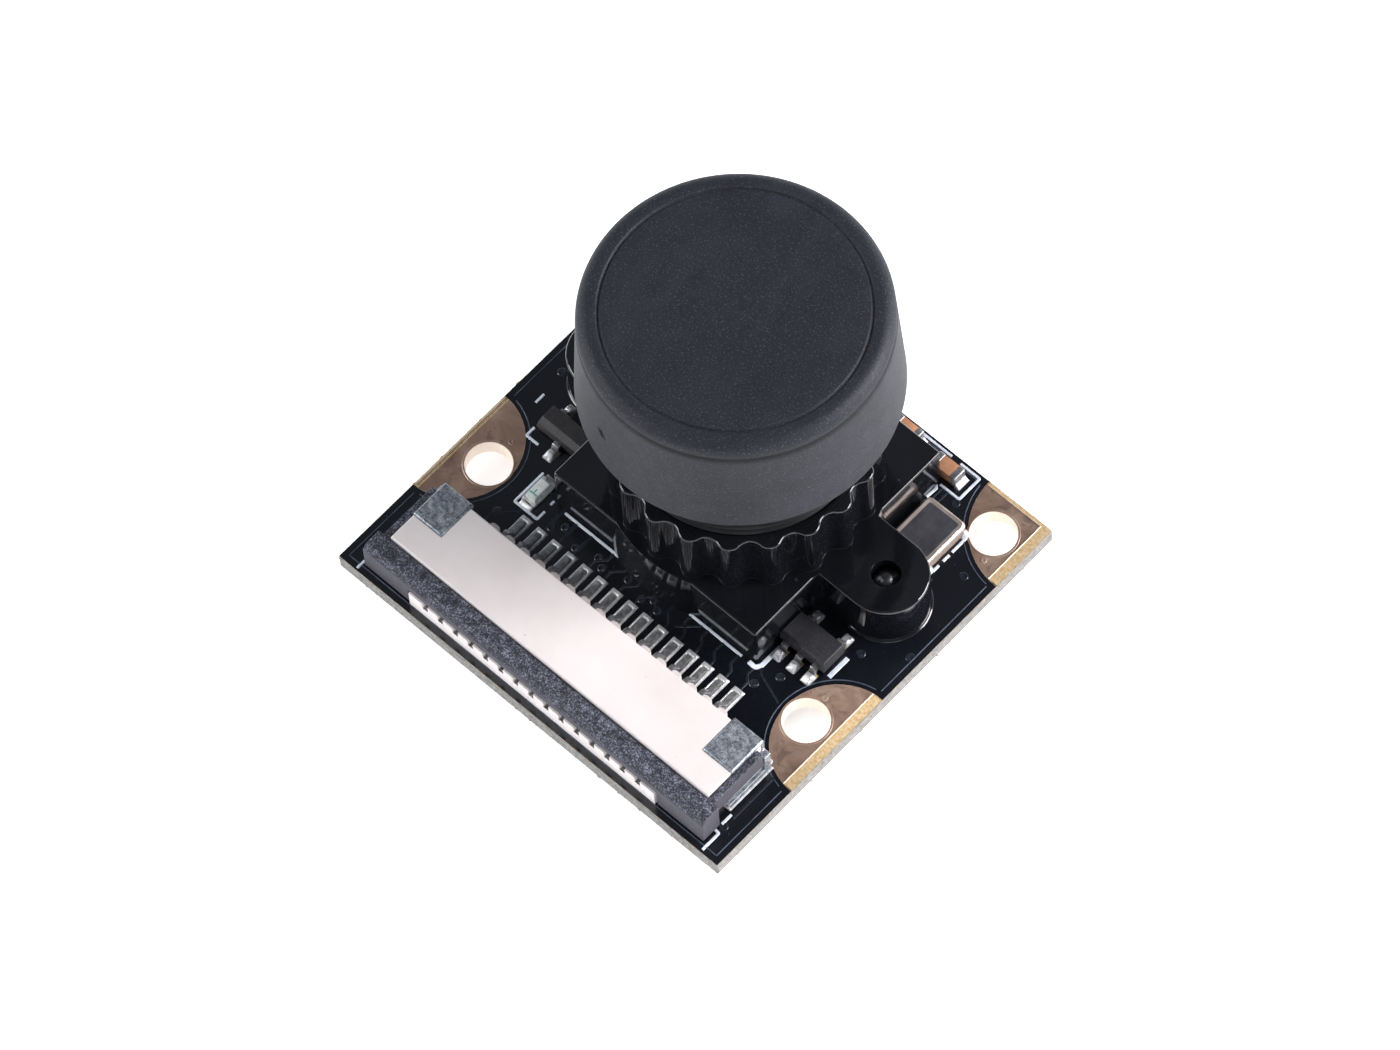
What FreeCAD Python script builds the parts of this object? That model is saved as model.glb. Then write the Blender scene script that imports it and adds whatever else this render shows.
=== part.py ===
import FreeCAD, Part
import math
import os

# A small camera board: a 25 x 24 mm circuit board with a 15-way ribbon-cable connector at its
# front edge, a screwed-on lens holder, a threaded wide-angle lens and a push-on lens cap.
#
# The frame: millimetres, +Z from the board towards the lens, +X along the connector and +Y from
# the connector towards the lens. The origin is the centre of the four mounting holes on the
# board's back face. Layout sizes along Y are counted from the board's front edge and heights
# from its top face, and board_box() and the other helpers turn them into the frame.

# Board
BOARD_WIDTH = 25.0
BOARD_DEPTH = 24.0
BOARD_THICKNESS = 1.0
MASK_THICKNESS = 0.03
COPPER_THICKNESS = 0.04
HOLE_SPACING_X = 21.0
HOLE_SPACING_Y = 13.5
HOLE_RADIUS = 1.2
HOLE_PLATING = 0.04
REAR_HOLE_SETBACK = 2.0
FRONT_LAND_RADIUS = 3.27
REAR_LAND_RADIUS = 4.07
LAND_EDGE_STRIP = 0.3

# Ribbon-cable connector
CONTACT_COUNT = 15
CONTACT_PITCH = 1.0
CONTACT_WIDTH = 0.3
CONTACT_THICKNESS = 0.15
CONTACT_SLOT_WIDTH = 0.34
CONTACT_PLANE = 0.62
CONTACT_FRONT = 0.45
PAD_WIDTH = 0.68
PAD_FRONT = 6.0
PAD_REAR = 7.6
PAD_HEIGHT = 0.02
CONTACT_HEEL = 6.12
CONTACT_RISE_RUN = 0.3
CONTACT_TOE_SETBACK = 0.3
CONTACT_INNER_STEP = 0.12
SLOT_END_GAP = 0.05
SLOT_FLOOR_GAP = 0.02
SLOT_REAR_GAP = 0.1
HOUSING_HALF_WIDTH = 10.45
HOUSING_FRONT = 1.7
HOUSING_REAR = 5.42
HOUSING_HEIGHT = 2.2
HOUSING_LIFT = 0.05
HOUSING_ROUND = 0.08
HOUSING_BACK_WALL = 1.0
TONGUE_HALF_WIDTH = 8.1
TONGUE_FRONT = 0.38
TONGUE_HEIGHT = 1.2
TONGUE_SLOT_OVERCUT = 0.1
CABLE_SLOT_HEIGHT = 0.7
CABLE_SLOT_REAR = 4.9
COMB_REAR = 6.0
COMB_HEIGHT = 1.0
COMB_TOOTH_WIDTH = 0.6
COMB_ROUND = 0.21
SLIDER_HALF_WIDTH = 11.2
SLIDER_FRONT = 0.45
SLIDER_REAR = 1.65
SLIDER_HEIGHT = 2.03
SLIDER_LIFT = 0.1
SLIDER_POST_INNER = 8.2
SLIDER_BAR_BASE = 1.25
SLIDER_BEVEL = 0.32
SLIDER_ARM_INNER = 10.5
SLIDER_ARM_OUTER = 10.9
SLIDER_ARM_REAR = 5.1
SLIDER_ARM_BASE = 0.82
SLIDER_WEDGE_REAR = 4.0
NAIL_INNER = 8.57
NAIL_OUTER = 10.5
NAIL_FRONT = 3.3
NAIL_REAR = 5.62
NAIL_SHEET = 0.2
NAIL_CLEARANCE = 0.02
NAIL_DROP_INNER = 9.35
NAIL_FOOT_OUTER = 10.88
NAIL_FOOT_FRONT = 2.6
NAIL_FOOT_SHEET = 0.15
NAIL_WALL_FRONT = 3.2
NAIL_WALL_HEIGHT = 0.75
NAIL_PLATE_FRONT = 5.2
NAIL_PLATE_HEIGHT = 1.4
NAIL_PAD_INNER = 10.15
NAIL_PAD_MARGIN = 0.05

# Lens holder
HOLDER_CENTRE_Y = 15.85
HOLDER_BASE_WIDTH = 13.3
HOLDER_BASE_HEIGHT = 2.95
HOLDER_SKIRT_RADIUS = 7.28
HOLDER_SKIRT_TOP_RADIUS = 7.05
TURRET_CREST_RADIUS = 6.78
TURRET_VALLEY_RADIUS = 6.28
TURRET_FLUTES = 20
TURRET_TOP = 6.8
THREAD_RADIUS = 6.0
EAR_OFFSET = 9.1
EAR_RADIUS = 2.15
EAR_HOLE_RADIUS = 0.75
SENSOR_ROOM_HALF = 5.3
SENSOR_ROOM_HEIGHT = 1.9
SHELF_TOP = 2.2
SHELF_WINDOW_HALF = 3.4
EDGE_ROUND = 0.15
BASE_TOP_ROUND = 0.12
TURRET_TOP_ROUND = 0.1

# Holder screws, driven from the board's back
SCREW_RADIUS = 0.7
SCREW_TIP_HEIGHT = 2.3
SCREW_HEAD_RADIUS = 1.3
SCREW_HEAD_HEIGHT = 0.8
SCREW_HEAD_ROUND = 0.35
SCREW_POINT_LENGTH = 0.35
SCREW_POINT_RADIUS = 0.25
CROSS_LENGTH = 1.43
CROSS_WIDTH = 0.3
CROSS_DEPTH = 0.4
SCREW_CLEARANCE_RADIUS = 0.85

# Image sensor and filter
SENSOR_HALF = 4.25
SENSOR_HEIGHT = 0.75
SENSOR_WELL_HALF = 3.3
SENSOR_WELL_FLOOR = 0.3
DIE_HALF_X = 2.9
DIE_HALF_Y = 2.3
DIE_HEIGHT = 0.25
COVER_GLASS_HALF = 3.7
COVER_GLASS_HEIGHT = 0.4
FILTER_HALF = 3.9
FILTER_HEIGHT = 0.3

# Lens, all round the optical axis, heights from the board's top face
RUNNING_GAP = 0.05
BARREL_BOTTOM = 2.9
BARREL_NECK_TOP = 9.3
HEAD_RADIUS = 7.0
HEAD_BOTTOM = 10.3
HEAD_TOP = 16.5
HEAD_CHAMFER = 0.3
FRONT_SEAT = 14.2
FRONT_SEAT_RADIUS = 6.2
MIDDLE_SEAT = 10.6
MIDDLE_SEAT_RADIUS = 5.2
REAR_SEAT = 10.0
REAR_BORE_RADIUS = 3.7
REAR_WINDOW_RADIUS = 3.2
BARREL_LEAD_CHAMFER = 0.25

# Glass elements: edge heights, then (radius, apex height) of the front and back surfaces
FRONT_ELEMENT = {"bottom": FRONT_SEAT, "top": 15.4, "front": (5.5, 17.0), "back": (4.4, 16.0)}
SECOND_ELEMENT = {"bottom": MIDDLE_SEAT, "top": 12.0, "front": (4.3, 13.2), "back": (2.9, 12.3)}
THIRD_ELEMENT = {"bottom": 8.5, "top": REAR_SEAT, "front": (2.9, 10.6), "back": (2.9, 8.0)}
REAR_ELEMENT = {"bottom": 4.6, "top": 6.9, "front": (2.9, 7.5), "back": (2.8, 4.1)}

# Rings in the barrel: inner radius, bottom and top
FRONT_RING = (5.55, 15.4, 16.2)
SPACER_RING = (4.6, 12.0, FRONT_SEAT)
REAR_RING = (2.9, 3.5, 4.6)
STOP_RING = (3.1, 6.9, 8.5)
STOP_BLADE = (1.0, 7.6, 7.9)

# Lens cap
CAP_RIM = 11.6
CAP_TOP = 18.5
CAP_RIM_RADIUS = 7.95
CAP_TOP_RADIUS = 7.55
CAP_EDGE_ROUND = 0.7
CAP_BORE_RADIUS = 7.03
CAP_INNER_RADIUS = 6.6
CAP_SHOULDER = 16.55
CAP_CEILING = 17.85
CAP_GROOVE_RADIUS = 6.5
CAP_GROOVE_WIDTH = 0.12
CAP_GROOVE_DEPTH = 0.06

# Small components: centre across the board, centre from its front edge
REGULATOR_RIGHT = (8.1, 11.6)
REGULATOR_LEFT = (-8.55, 12.05)
REGULATOR_LENGTH = 2.9
REGULATOR_RIGHT_WIDTH = 1.6
REGULATOR_LEFT_WIDTH = 1.3
REGULATOR_HEIGHT = 1.1
REGULATOR_LIFT = 0.08
REGULATOR_BASE_DRAFT = 0.08
REGULATOR_TOP_DRAFT = 0.1
LEAD_WIDTH = 0.4
LEAD_SHEET = 0.13
LEAD_REACH = 0.6
LEAD_EXIT = 0.5
LEAD_SPACING = 0.95
LEAD_KNEE = 0.2
LEAD_PAD_FRONT = 0.1
LEAD_PAD_MARGIN = 0.1
LEAD_PAD_TOE = 0.15
CRYSTAL = (8.2, 19.7)
CRYSTAL_WIDTH = 2.5
CRYSTAL_DEPTH = 3.2
CRYSTAL_BASE_HEIGHT = 0.4
CRYSTAL_LID_HEIGHT = 0.3
CRYSTAL_LID_INSET = 0.12
CRYSTAL_PAD_GAP = 0.4
CAPACITORS = ((6.6, 23.0), (3.7, 23.25))
CHIP_LENGTH = 1.6
CHIP_WIDTH = 0.8
CHIP_HEIGHT = 0.8
CHIP_END = 0.35
CHIP_END_ROUND = 0.1
CHIP_PAD_TOE = 0.25
LED = (-7.55, 8.95)
LED_HEIGHT = 0.55
LED_END = 0.3
LED_DOME_INSET = 0.08
LED_END_HEIGHT = 0.385

FRONT_EDGE = HOLE_SPACING_Y / 2 + REAR_HOLE_SETBACK - BOARD_DEPTH
REAR_EDGE = FRONT_EDGE + BOARD_DEPTH
SIDE_EDGE = BOARD_WIDTH / 2
CORE_TOP = BOARD_THICKNESS - MASK_THICKNESS
AXIS_Y = FRONT_EDGE + HOLDER_CENTRE_Y
UP = FreeCAD.Vector(0, 0, 1)
SIDES = (-1, 1)
TOLERANCE = 1e-4


def point(x, y, z):
    """A place across the board, from its front edge and above its top face."""
    return FreeCAD.Vector(x, FRONT_EDGE + y, BOARD_THICKNESS + z)


def board_box(x0, x1, y0, y1, z0, z1):
    """A box given across the board, from its front edge and above its top face."""
    return Part.makeBox(x1 - x0, y1 - y0, z1 - z0, point(x0, y0, z0))


def centred_box(half_x, half_y, z0, z1):
    """A box around the optical axis."""
    return board_box(-half_x, half_x, HOLDER_CENTRE_Y - half_y, HOLDER_CENTRE_Y + half_y, z0, z1)


def cylinder(x, y, radius, z0, z1):
    """An upright cylinder at a place in the frame, with heights in the frame."""
    return Part.makeCylinder(radius, z1 - z0, FreeCAD.Vector(x, y, z0), UP)


def outline_solid(edges, direction):
    """A prism swept from a closed outline of edges."""
    return Part.Face(Part.Wire(edges)).extrude(direction)


def profile_prism(corners, x0, x1):
    """A prism along X from (y, z) corners, from the front edge and above the board."""
    points = [point(x0, y, z) for y, z in corners]
    wire = Part.makePolygon(points + points[:1])
    return Part.Face(wire).extrude(FreeCAD.Vector(x1 - x0, 0, 0))


def turned(edges):
    """A solid of revolution about the optical axis, from a closed outline in radius and height."""
    axis_foot = FreeCAD.Vector(0, AXIS_Y, 0)
    return Part.Face(Part.Wire(edges)).revolve(axis_foot, UP, 360)


def radial(radius, z):
    """A point of a turned outline: radius from the optical axis, height above the board."""
    return FreeCAD.Vector(radius, AXIS_Y, BOARD_THICKNESS + z)


def turned_polygon(corners):
    """A solid of revolution from straight-sided (radius, height) corners."""
    points = [radial(r, z) for r, z in corners]
    return turned(Part.makePolygon(points + points[:1]).Edges)


def line(a, b):
    return Part.LineSegment(a, b).toShape()


def arc(a, b, c):
    return Part.Arc(a, b, c).toShape()


def upright_edges(shape, half_x, y_values):
    """The vertical edges of a shape that stand at the given corners."""
    found = []
    for edge in shape.Edges:
        centre = edge.CenterOfMass
        ends = [v.Point for v in edge.Vertexes]
        upright = len(ends) == 2 and abs(ends[0].x - ends[1].x) + abs(ends[0].y - ends[1].y) < TOLERANCE
        at_side = abs(abs(centre.x) - half_x) < TOLERANCE
        at_end = min(abs(centre.y - y) for y in y_values) < TOLERANCE
        if upright and at_side and at_end:
            found.append(edge)
    return found


def level_edges(shape, z):
    """The edges of a shape that lie flat at a height in the frame."""
    box_of = [(edge, edge.BoundBox) for edge in shape.Edges]
    return [edge for edge, box in box_of if abs(box.ZMin - z) < TOLERANCE and abs(box.ZMax - z) < TOLERANCE]


def hole_places():
    """The four mounting-hole centres."""
    for side_x in SIDES:
        for side_y in SIDES:
            yield side_x * HOLE_SPACING_X / 2, side_y * HOLE_SPACING_Y / 2


def land_prism(side_x, side_y, inset, z0, z1):
    """The copper area round one mounting hole: part of a disc centred on the board's edge."""
    rear = side_y > 0
    radius = REAR_LAND_RADIUS if rear else FRONT_LAND_RADIUS
    centre_y = REAR_EDGE if rear else side_y * HOLE_SPACING_Y / 2
    disc = cylinder(side_x * SIDE_EDGE, centre_y, radius, z0, z1)
    board = Part.makeBox(
        BOARD_WIDTH - 2 * inset, BOARD_DEPTH, z1 - z0, FreeCAD.Vector(inset - SIDE_EDGE, FRONT_EDGE, z0)
    )
    return disc.common(board)


def plated_hole(x, y):
    """A mounting hole's plating: a thin tube through the board between two gold lands."""
    side_x = math.copysign(1, x)
    side_y = math.copysign(1, y)
    land_top = CORE_TOP + COPPER_THICKNESS
    land_bottom = MASK_THICKNESS - COPPER_THICKNESS
    top = land_prism(side_x, side_y, LAND_EDGE_STRIP, CORE_TOP, land_top)
    bottom = land_prism(side_x, side_y, LAND_EDGE_STRIP, land_bottom, MASK_THICKNESS)
    tube = cylinder(x, y, HOLE_RADIUS + HOLE_PLATING, land_bottom, land_top)
    bore = cylinder(x, y, HOLE_RADIUS, land_bottom, land_top)
    return top.fuse([bottom, tube]).cut(bore).removeSplitter()


def plated_holes():
    return Part.makeCompound([plated_hole(x, y) for x, y in hole_places()])


def circuit_board():
    """The glass-fibre core, with its mounting holes and the holder screws' clearance holes."""
    corner = FreeCAD.Vector(-SIDE_EDGE, FRONT_EDGE, MASK_THICKNESS)
    core = Part.makeBox(BOARD_WIDTH, BOARD_DEPTH, CORE_TOP - MASK_THICKNESS, corner)
    holes = [cylinder(x, y, HOLE_RADIUS + HOLE_PLATING, 0, BOARD_THICKNESS) for x, y in hole_places()]
    return core.cut(holes + screw_clearances())


def screw_clearances():
    return [cylinder(side * EAR_OFFSET, AXIS_Y, SCREW_CLEARANCE_RADIUS, 0, BOARD_THICKNESS) for side in SIDES]


def solder_mask(z0, openings):
    """One face's mask, open over the gold lands, the screw holes and the given pads."""
    sheet = Part.makeBox(BOARD_WIDTH, BOARD_DEPTH, MASK_THICKNESS, FreeCAD.Vector(-SIDE_EDGE, FRONT_EDGE, z0))
    lands = []
    for side_x in SIDES:
        for side_y in SIDES:
            lands.append(land_prism(side_x, side_y, 0, z0, z0 + MASK_THICKNESS))
    return sheet.cut(lands + screw_clearances() + openings)


def contact_centres():
    """Each contact's place across the board."""
    first = -CONTACT_PITCH * (CONTACT_COUNT - 1) / 2
    return [first + CONTACT_PITCH * index for index in range(CONTACT_COUNT)]


def pad(x0, x1, y0, y1):
    """A tinned pad that stands a little above the mask."""
    return board_box(x0, x1, y0, y1, -MASK_THICKNESS, PAD_HEIGHT)


def lead_places(centre, width, front_offsets, rear_offsets):
    """Where a small package's leads stand: (x, body side y, direction along Y)."""
    x, y = centre
    front = [(x + offset, y - width / 2, -1) for offset in front_offsets]
    rear = [(x + offset, y + width / 2, 1) for offset in rear_offsets]
    return front + rear


def regulator_right_places():
    front = (-LEAD_SPACING, 0, LEAD_SPACING)
    return lead_places(REGULATOR_RIGHT, REGULATOR_RIGHT_WIDTH, front, (-LEAD_SPACING, LEAD_SPACING))


def regulator_left_places():
    return lead_places(REGULATOR_LEFT, REGULATOR_LEFT_WIDTH, (0,), (-LEAD_SPACING, LEAD_SPACING))


def solder_pads():
    """Every tinned pad on the board's top: contacts, nails, regulators, crystal, chips and LED."""
    pads = [pad(x - PAD_WIDTH / 2, x + PAD_WIDTH / 2, PAD_FRONT, PAD_REAR) for x in contact_centres()]
    for side in SIDES:
        x0, x1 = sorted((side * NAIL_PAD_INNER, side * (NAIL_FOOT_OUTER + NAIL_PAD_MARGIN)))
        pads.append(pad(x0, x1, NAIL_FOOT_FRONT - 2 * NAIL_PAD_MARGIN, NAIL_REAR))
    half = LEAD_WIDTH / 2 + LEAD_PAD_MARGIN
    for x, y, way in regulator_right_places() + regulator_left_places():
        y0, y1 = sorted((y + way * LEAD_PAD_FRONT, y + way * (LEAD_REACH + LEAD_PAD_TOE)))
        pads.append(pad(x - half, x + half, y0, y1))
    return pads + crystal_pads() + chip_pads() + led_pads()


def crystal_pads():
    """Four pads under the crystal's corners."""
    pads = []
    x, y = CRYSTAL
    for side_x in SIDES:
        for side_y in SIDES:
            x0, x1 = sorted((x + side_x * CRYSTAL_PAD_GAP, x + side_x * CRYSTAL_WIDTH / 2))
            y0, y1 = sorted((y + side_y * CRYSTAL_PAD_GAP, y + side_y * CRYSTAL_DEPTH / 2))
            pads.append(pad(x0, x1, y0, y1))
    return pads


def chip_pads():
    pads = []
    inner = CHIP_LENGTH / 2 - CHIP_END
    outer = CHIP_LENGTH / 2 + CHIP_PAD_TOE
    for x, y in CAPACITORS:
        for side in SIDES:
            x0, x1 = sorted((x + side * inner, x + side * outer))
            pads.append(pad(x0, x1, y - CHIP_WIDTH / 2, y + CHIP_WIDTH / 2))
    return pads


def led_pads():
    pads = []
    x, y = LED
    for side in SIDES:
        y0, y1 = sorted((y + side * (CHIP_LENGTH / 2 - LED_END), y + side * (CHIP_LENGTH / 2 + CHIP_PAD_TOE)))
        pads.append(pad(x - CHIP_WIDTH / 2, x + CHIP_WIDTH / 2, y0, y1))
    return pads


def contact_slots():
    """Room for the contacts through the connector housing."""
    slots = []
    for x in contact_centres():
        half = CONTACT_SLOT_WIDTH / 2
        top = CONTACT_PLANE + CONTACT_THICKNESS
        low = CONTACT_PLANE - SLOT_FLOOR_GAP
        passage_front = CONTACT_FRONT - SLOT_END_GAP
        slots.append(board_box(x - half, x + half, passage_front, COMB_REAR + SLOT_REAR_GAP, low, top))
        slot_front = TONGUE_FRONT - TONGUE_SLOT_OVERCUT
        slot_rear = HOUSING_REAR - HOUSING_BACK_WALL
        slots.append(board_box(x - half, x + half, slot_front, slot_rear, top, TONGUE_HEIGHT))
    return slots


def connector_housing():
    """The cream housing: body, cable tongue, cable slot, rear comb and recesses for the nails."""
    body = board_box(
        -HOUSING_HALF_WIDTH, HOUSING_HALF_WIDTH, HOUSING_FRONT, HOUSING_REAR, HOUSING_LIFT, HOUSING_HEIGHT
    )
    body = body.makeFillet(HOUSING_ROUND, level_edges(body, BOARD_THICKNESS + HOUSING_HEIGHT))
    tongue = board_box(
        -TONGUE_HALF_WIDTH, TONGUE_HALF_WIDTH, TONGUE_FRONT, HOUSING_FRONT, HOUSING_LIFT, TONGUE_HEIGHT
    )
    cable_top = TONGUE_HEIGHT + CABLE_SLOT_HEIGHT
    cable_slot = board_box(
        -TONGUE_HALF_WIDTH, TONGUE_HALF_WIDTH, HOUSING_FRONT, CABLE_SLOT_REAR, TONGUE_HEIGHT, cable_top
    )
    housing = body.fuse([tongue] + comb_teeth()).cut([cable_slot] + contact_slots() + nail_recesses())
    return housing.removeSplitter()


def comb_teeth():
    """The rounded teeth that stand between the contacts behind the housing."""
    teeth = []
    half = COMB_TOOTH_WIDTH / 2
    for index in range(CONTACT_COUNT + 1):
        x = -CONTACT_PITCH * CONTACT_COUNT / 2 + CONTACT_PITCH * index
        tooth = board_box(x - half, x + half, HOUSING_REAR, COMB_REAR, HOUSING_LIFT, COMB_HEIGHT)
        far = [e for e in tooth.Edges if e.CenterOfMass.y > FRONT_EDGE + COMB_REAR - TOLERANCE]
        upright = [e for e in far if abs(e.CenterOfMass.x - x) > half / 2]
        teeth.append(tooth.makeFillet(COMB_ROUND, upright))
    return teeth


def nail_recesses():
    """The stepped corners of the housing where the solder nails lie flush."""
    recesses = []
    for side in SIDES:
        x0, x1 = sorted((side * NAIL_INNER, side * (HOUSING_HALF_WIDTH + 1)))
        top = HOUSING_HEIGHT - NAIL_SHEET
        recesses.append(board_box(x0, x1, NAIL_FRONT, HOUSING_REAR + 1, top, HOUSING_HEIGHT + 1))
    return recesses


def connector_slider():
    """The black latch: a front bar, two posts, two side arms and a thin wedge in the cable slot."""
    bar = profile_prism(
        [
            (SLIDER_FRONT, SLIDER_BAR_BASE),
            (SLIDER_REAR, SLIDER_BAR_BASE),
            (SLIDER_REAR, SLIDER_HEIGHT),
            (SLIDER_FRONT + SLIDER_BEVEL, SLIDER_HEIGHT),
            (SLIDER_FRONT, SLIDER_HEIGHT - SLIDER_BEVEL),
        ],
        -SLIDER_HALF_WIDTH,
        SLIDER_HALF_WIDTH,
    )
    pieces = []
    for side in SIDES:
        x0, x1 = sorted((side * SLIDER_POST_INNER, side * SLIDER_HALF_WIDTH))
        pieces.append(board_box(x0, x1, SLIDER_FRONT, SLIDER_REAR, SLIDER_LIFT, SLIDER_BAR_BASE))
        x0, x1 = sorted((side * SLIDER_ARM_INNER, side * SLIDER_ARM_OUTER))
        pieces.append(board_box(x0, x1, SLIDER_REAR, SLIDER_ARM_REAR, SLIDER_ARM_BASE, SLIDER_HEIGHT))
    wedge_half = TONGUE_HALF_WIDTH - RUNNING_GAP
    wedge_base = TONGUE_HEIGHT + CABLE_SLOT_HEIGHT / 2
    wedge_top = TONGUE_HEIGHT + CABLE_SLOT_HEIGHT - RUNNING_GAP
    pieces.append(board_box(-wedge_half, wedge_half, SLIDER_REAR, SLIDER_WEDGE_REAR, wedge_base, wedge_top))
    slider = bar.fuse(pieces).removeSplitter()
    corners = upright_edges(slider, SLIDER_HALF_WIDTH, (FRONT_EDGE + SLIDER_FRONT, FRONT_EDGE + SLIDER_REAR))
    return slider.makeFillet(EDGE_ROUND, corners)


def connector_contacts():
    """Bent strip contacts: a flat foot on each pad, a rise and a straight run under the cable."""
    toe = PAD_REAR - CONTACT_TOE_SETBACK
    heel = CONTACT_HEEL + CONTACT_RISE_RUN
    low = PAD_HEIGHT
    high = CONTACT_PLANE
    sheet = CONTACT_THICKNESS
    corners = [
        (toe, low),
        (toe, low + sheet),
        (heel, low + sheet),
        (CONTACT_HEEL, high + sheet),
        (CONTACT_FRONT, high + sheet),
        (CONTACT_FRONT, high),
        (CONTACT_HEEL - CONTACT_INNER_STEP, high),
        (heel - CONTACT_INNER_STEP, low),
    ]
    half = CONTACT_WIDTH / 2
    return Part.makeCompound([profile_prism(corners, x - half, x + half) for x in contact_centres()])


def solder_nail(side):
    """A tinned hold-down: a tab on the housing's corner, a drop behind it and a foot on the board."""
    tab_front = NAIL_FRONT + NAIL_CLEARANCE
    tab_base = HOUSING_HEIGHT - NAIL_SHEET
    drop_front = HOUSING_REAR + NAIL_CLEARANCE
    foot_top = PAD_HEIGHT + NAIL_FOOT_SHEET
    wall_outer = NAIL_OUTER + NAIL_FOOT_SHEET
    tab = board_box(NAIL_INNER + NAIL_CLEARANCE, NAIL_OUTER, tab_front, NAIL_REAR, tab_base, HOUSING_HEIGHT)
    drop = board_box(NAIL_DROP_INNER, NAIL_OUTER, drop_front, NAIL_REAR, PAD_HEIGHT, tab_base)
    plate = board_box(NAIL_OUTER, NAIL_FOOT_OUTER, NAIL_PLATE_FRONT, NAIL_REAR, PAD_HEIGHT, NAIL_PLATE_HEIGHT)
    foot = board_box(NAIL_OUTER, NAIL_FOOT_OUTER, NAIL_FOOT_FRONT, NAIL_REAR, PAD_HEIGHT, foot_top)
    wall = board_box(NAIL_OUTER, wall_outer, NAIL_WALL_FRONT, NAIL_REAR, PAD_HEIGHT, NAIL_WALL_HEIGHT)
    nail = tab.fuse([drop, plate, foot, wall]).removeSplitter()
    if side < 0:
        nail = nail.mirror(FreeCAD.Vector(0, 0, 0), FreeCAD.Vector(1, 0, 0))
    return nail


def turret_outline(z):
    """The turret's fluted outline: alternate crest and valley arcs, one pair for each flute."""
    middle = (TURRET_CREST_RADIUS + TURRET_VALLEY_RADIUS) / 2
    step = 2 * math.pi / TURRET_FLUTES

    def at(radius, turns):
        angle = step * turns
        foot = radial(0, z)
        return foot + FreeCAD.Vector(radius * math.cos(angle), radius * math.sin(angle), 0)

    edges = []
    for flute in range(TURRET_FLUTES):
        crest = [at(middle, flute - 0.25), at(TURRET_CREST_RADIUS, flute), at(middle, flute + 0.25)]
        valley = [at(middle, flute + 0.25), at(TURRET_VALLEY_RADIUS, flute + 0.5), at(middle, flute + 0.75)]
        edges.append(arc(*crest))
        edges.append(arc(*valley))
    return edges


def holder_base():
    """The square base and its two round-ended screw ears, with softened corners and top edges."""
    half = HOLDER_BASE_WIDTH / 2
    base = centred_box(half, half, 0, HOLDER_BASE_HEIGHT)
    corners = upright_edges(base, half, (AXIS_Y - half, AXIS_Y + half))
    base = base.makeFillet(EDGE_ROUND, corners)
    top = BOARD_THICKNESS + HOLDER_BASE_HEIGHT
    ears = []
    for side in SIDES:
        ears.append(cylinder(side * EAR_OFFSET, AXIS_Y, EAR_RADIUS, BOARD_THICKNESS, top))
        x0, x1 = sorted((0, side * EAR_OFFSET))
        y0 = HOLDER_CENTRE_Y - EAR_RADIUS
        ears.append(board_box(x0, x1, y0, y0 + 2 * EAR_RADIUS, 0, HOLDER_BASE_HEIGHT))
    base = base.fuse(ears).removeSplitter()
    return base.makeFillet(BASE_TOP_ROUND, level_edges(base, top))


def turret():
    """The fluted turret above the base, with its top edge rounded."""
    height = TURRET_TOP - HOLDER_BASE_HEIGHT
    solid = outline_solid(turret_outline(HOLDER_BASE_HEIGHT), FreeCAD.Vector(0, 0, height))
    return solid.makeFillet(TURRET_TOP_ROUND, level_edges(solid, BOARD_THICKNESS + TURRET_TOP))


def lens_holder():
    """The moulded holder: base, skirt, fluted turret, threaded bore, filter shelf and sensor room."""
    skirt = turned_polygon(
        [
            (0, 0),
            (HOLDER_SKIRT_RADIUS, 0),
            (HOLDER_SKIRT_TOP_RADIUS, HOLDER_BASE_HEIGHT),
            (0, HOLDER_BASE_HEIGHT),
        ]
    )
    solid = holder_base().fuse([skirt, turret()]).removeSplitter()
    bore = ring_plug(THREAD_RADIUS, SHELF_TOP, TURRET_TOP)
    window = centred_box(SHELF_WINDOW_HALF, SHELF_WINDOW_HALF, SENSOR_ROOM_HEIGHT, SHELF_TOP)
    room = centred_box(SENSOR_ROOM_HALF, SENSOR_ROOM_HALF, 0, SENSOR_ROOM_HEIGHT)
    top = BOARD_THICKNESS + HOLDER_BASE_HEIGHT
    ear_holes = [
        cylinder(side * EAR_OFFSET, AXIS_Y, EAR_HOLE_RADIUS, BOARD_THICKNESS, top) for side in SIDES
    ]
    return solid.cut([bore, window, room] + ear_holes)


def ring_plug(radius, z0, z1):
    """A plain cylinder on the optical axis, with heights above the board."""
    return cylinder(0, AXIS_Y, radius, BOARD_THICKNESS + z0, BOARD_THICKNESS + z1)


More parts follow.
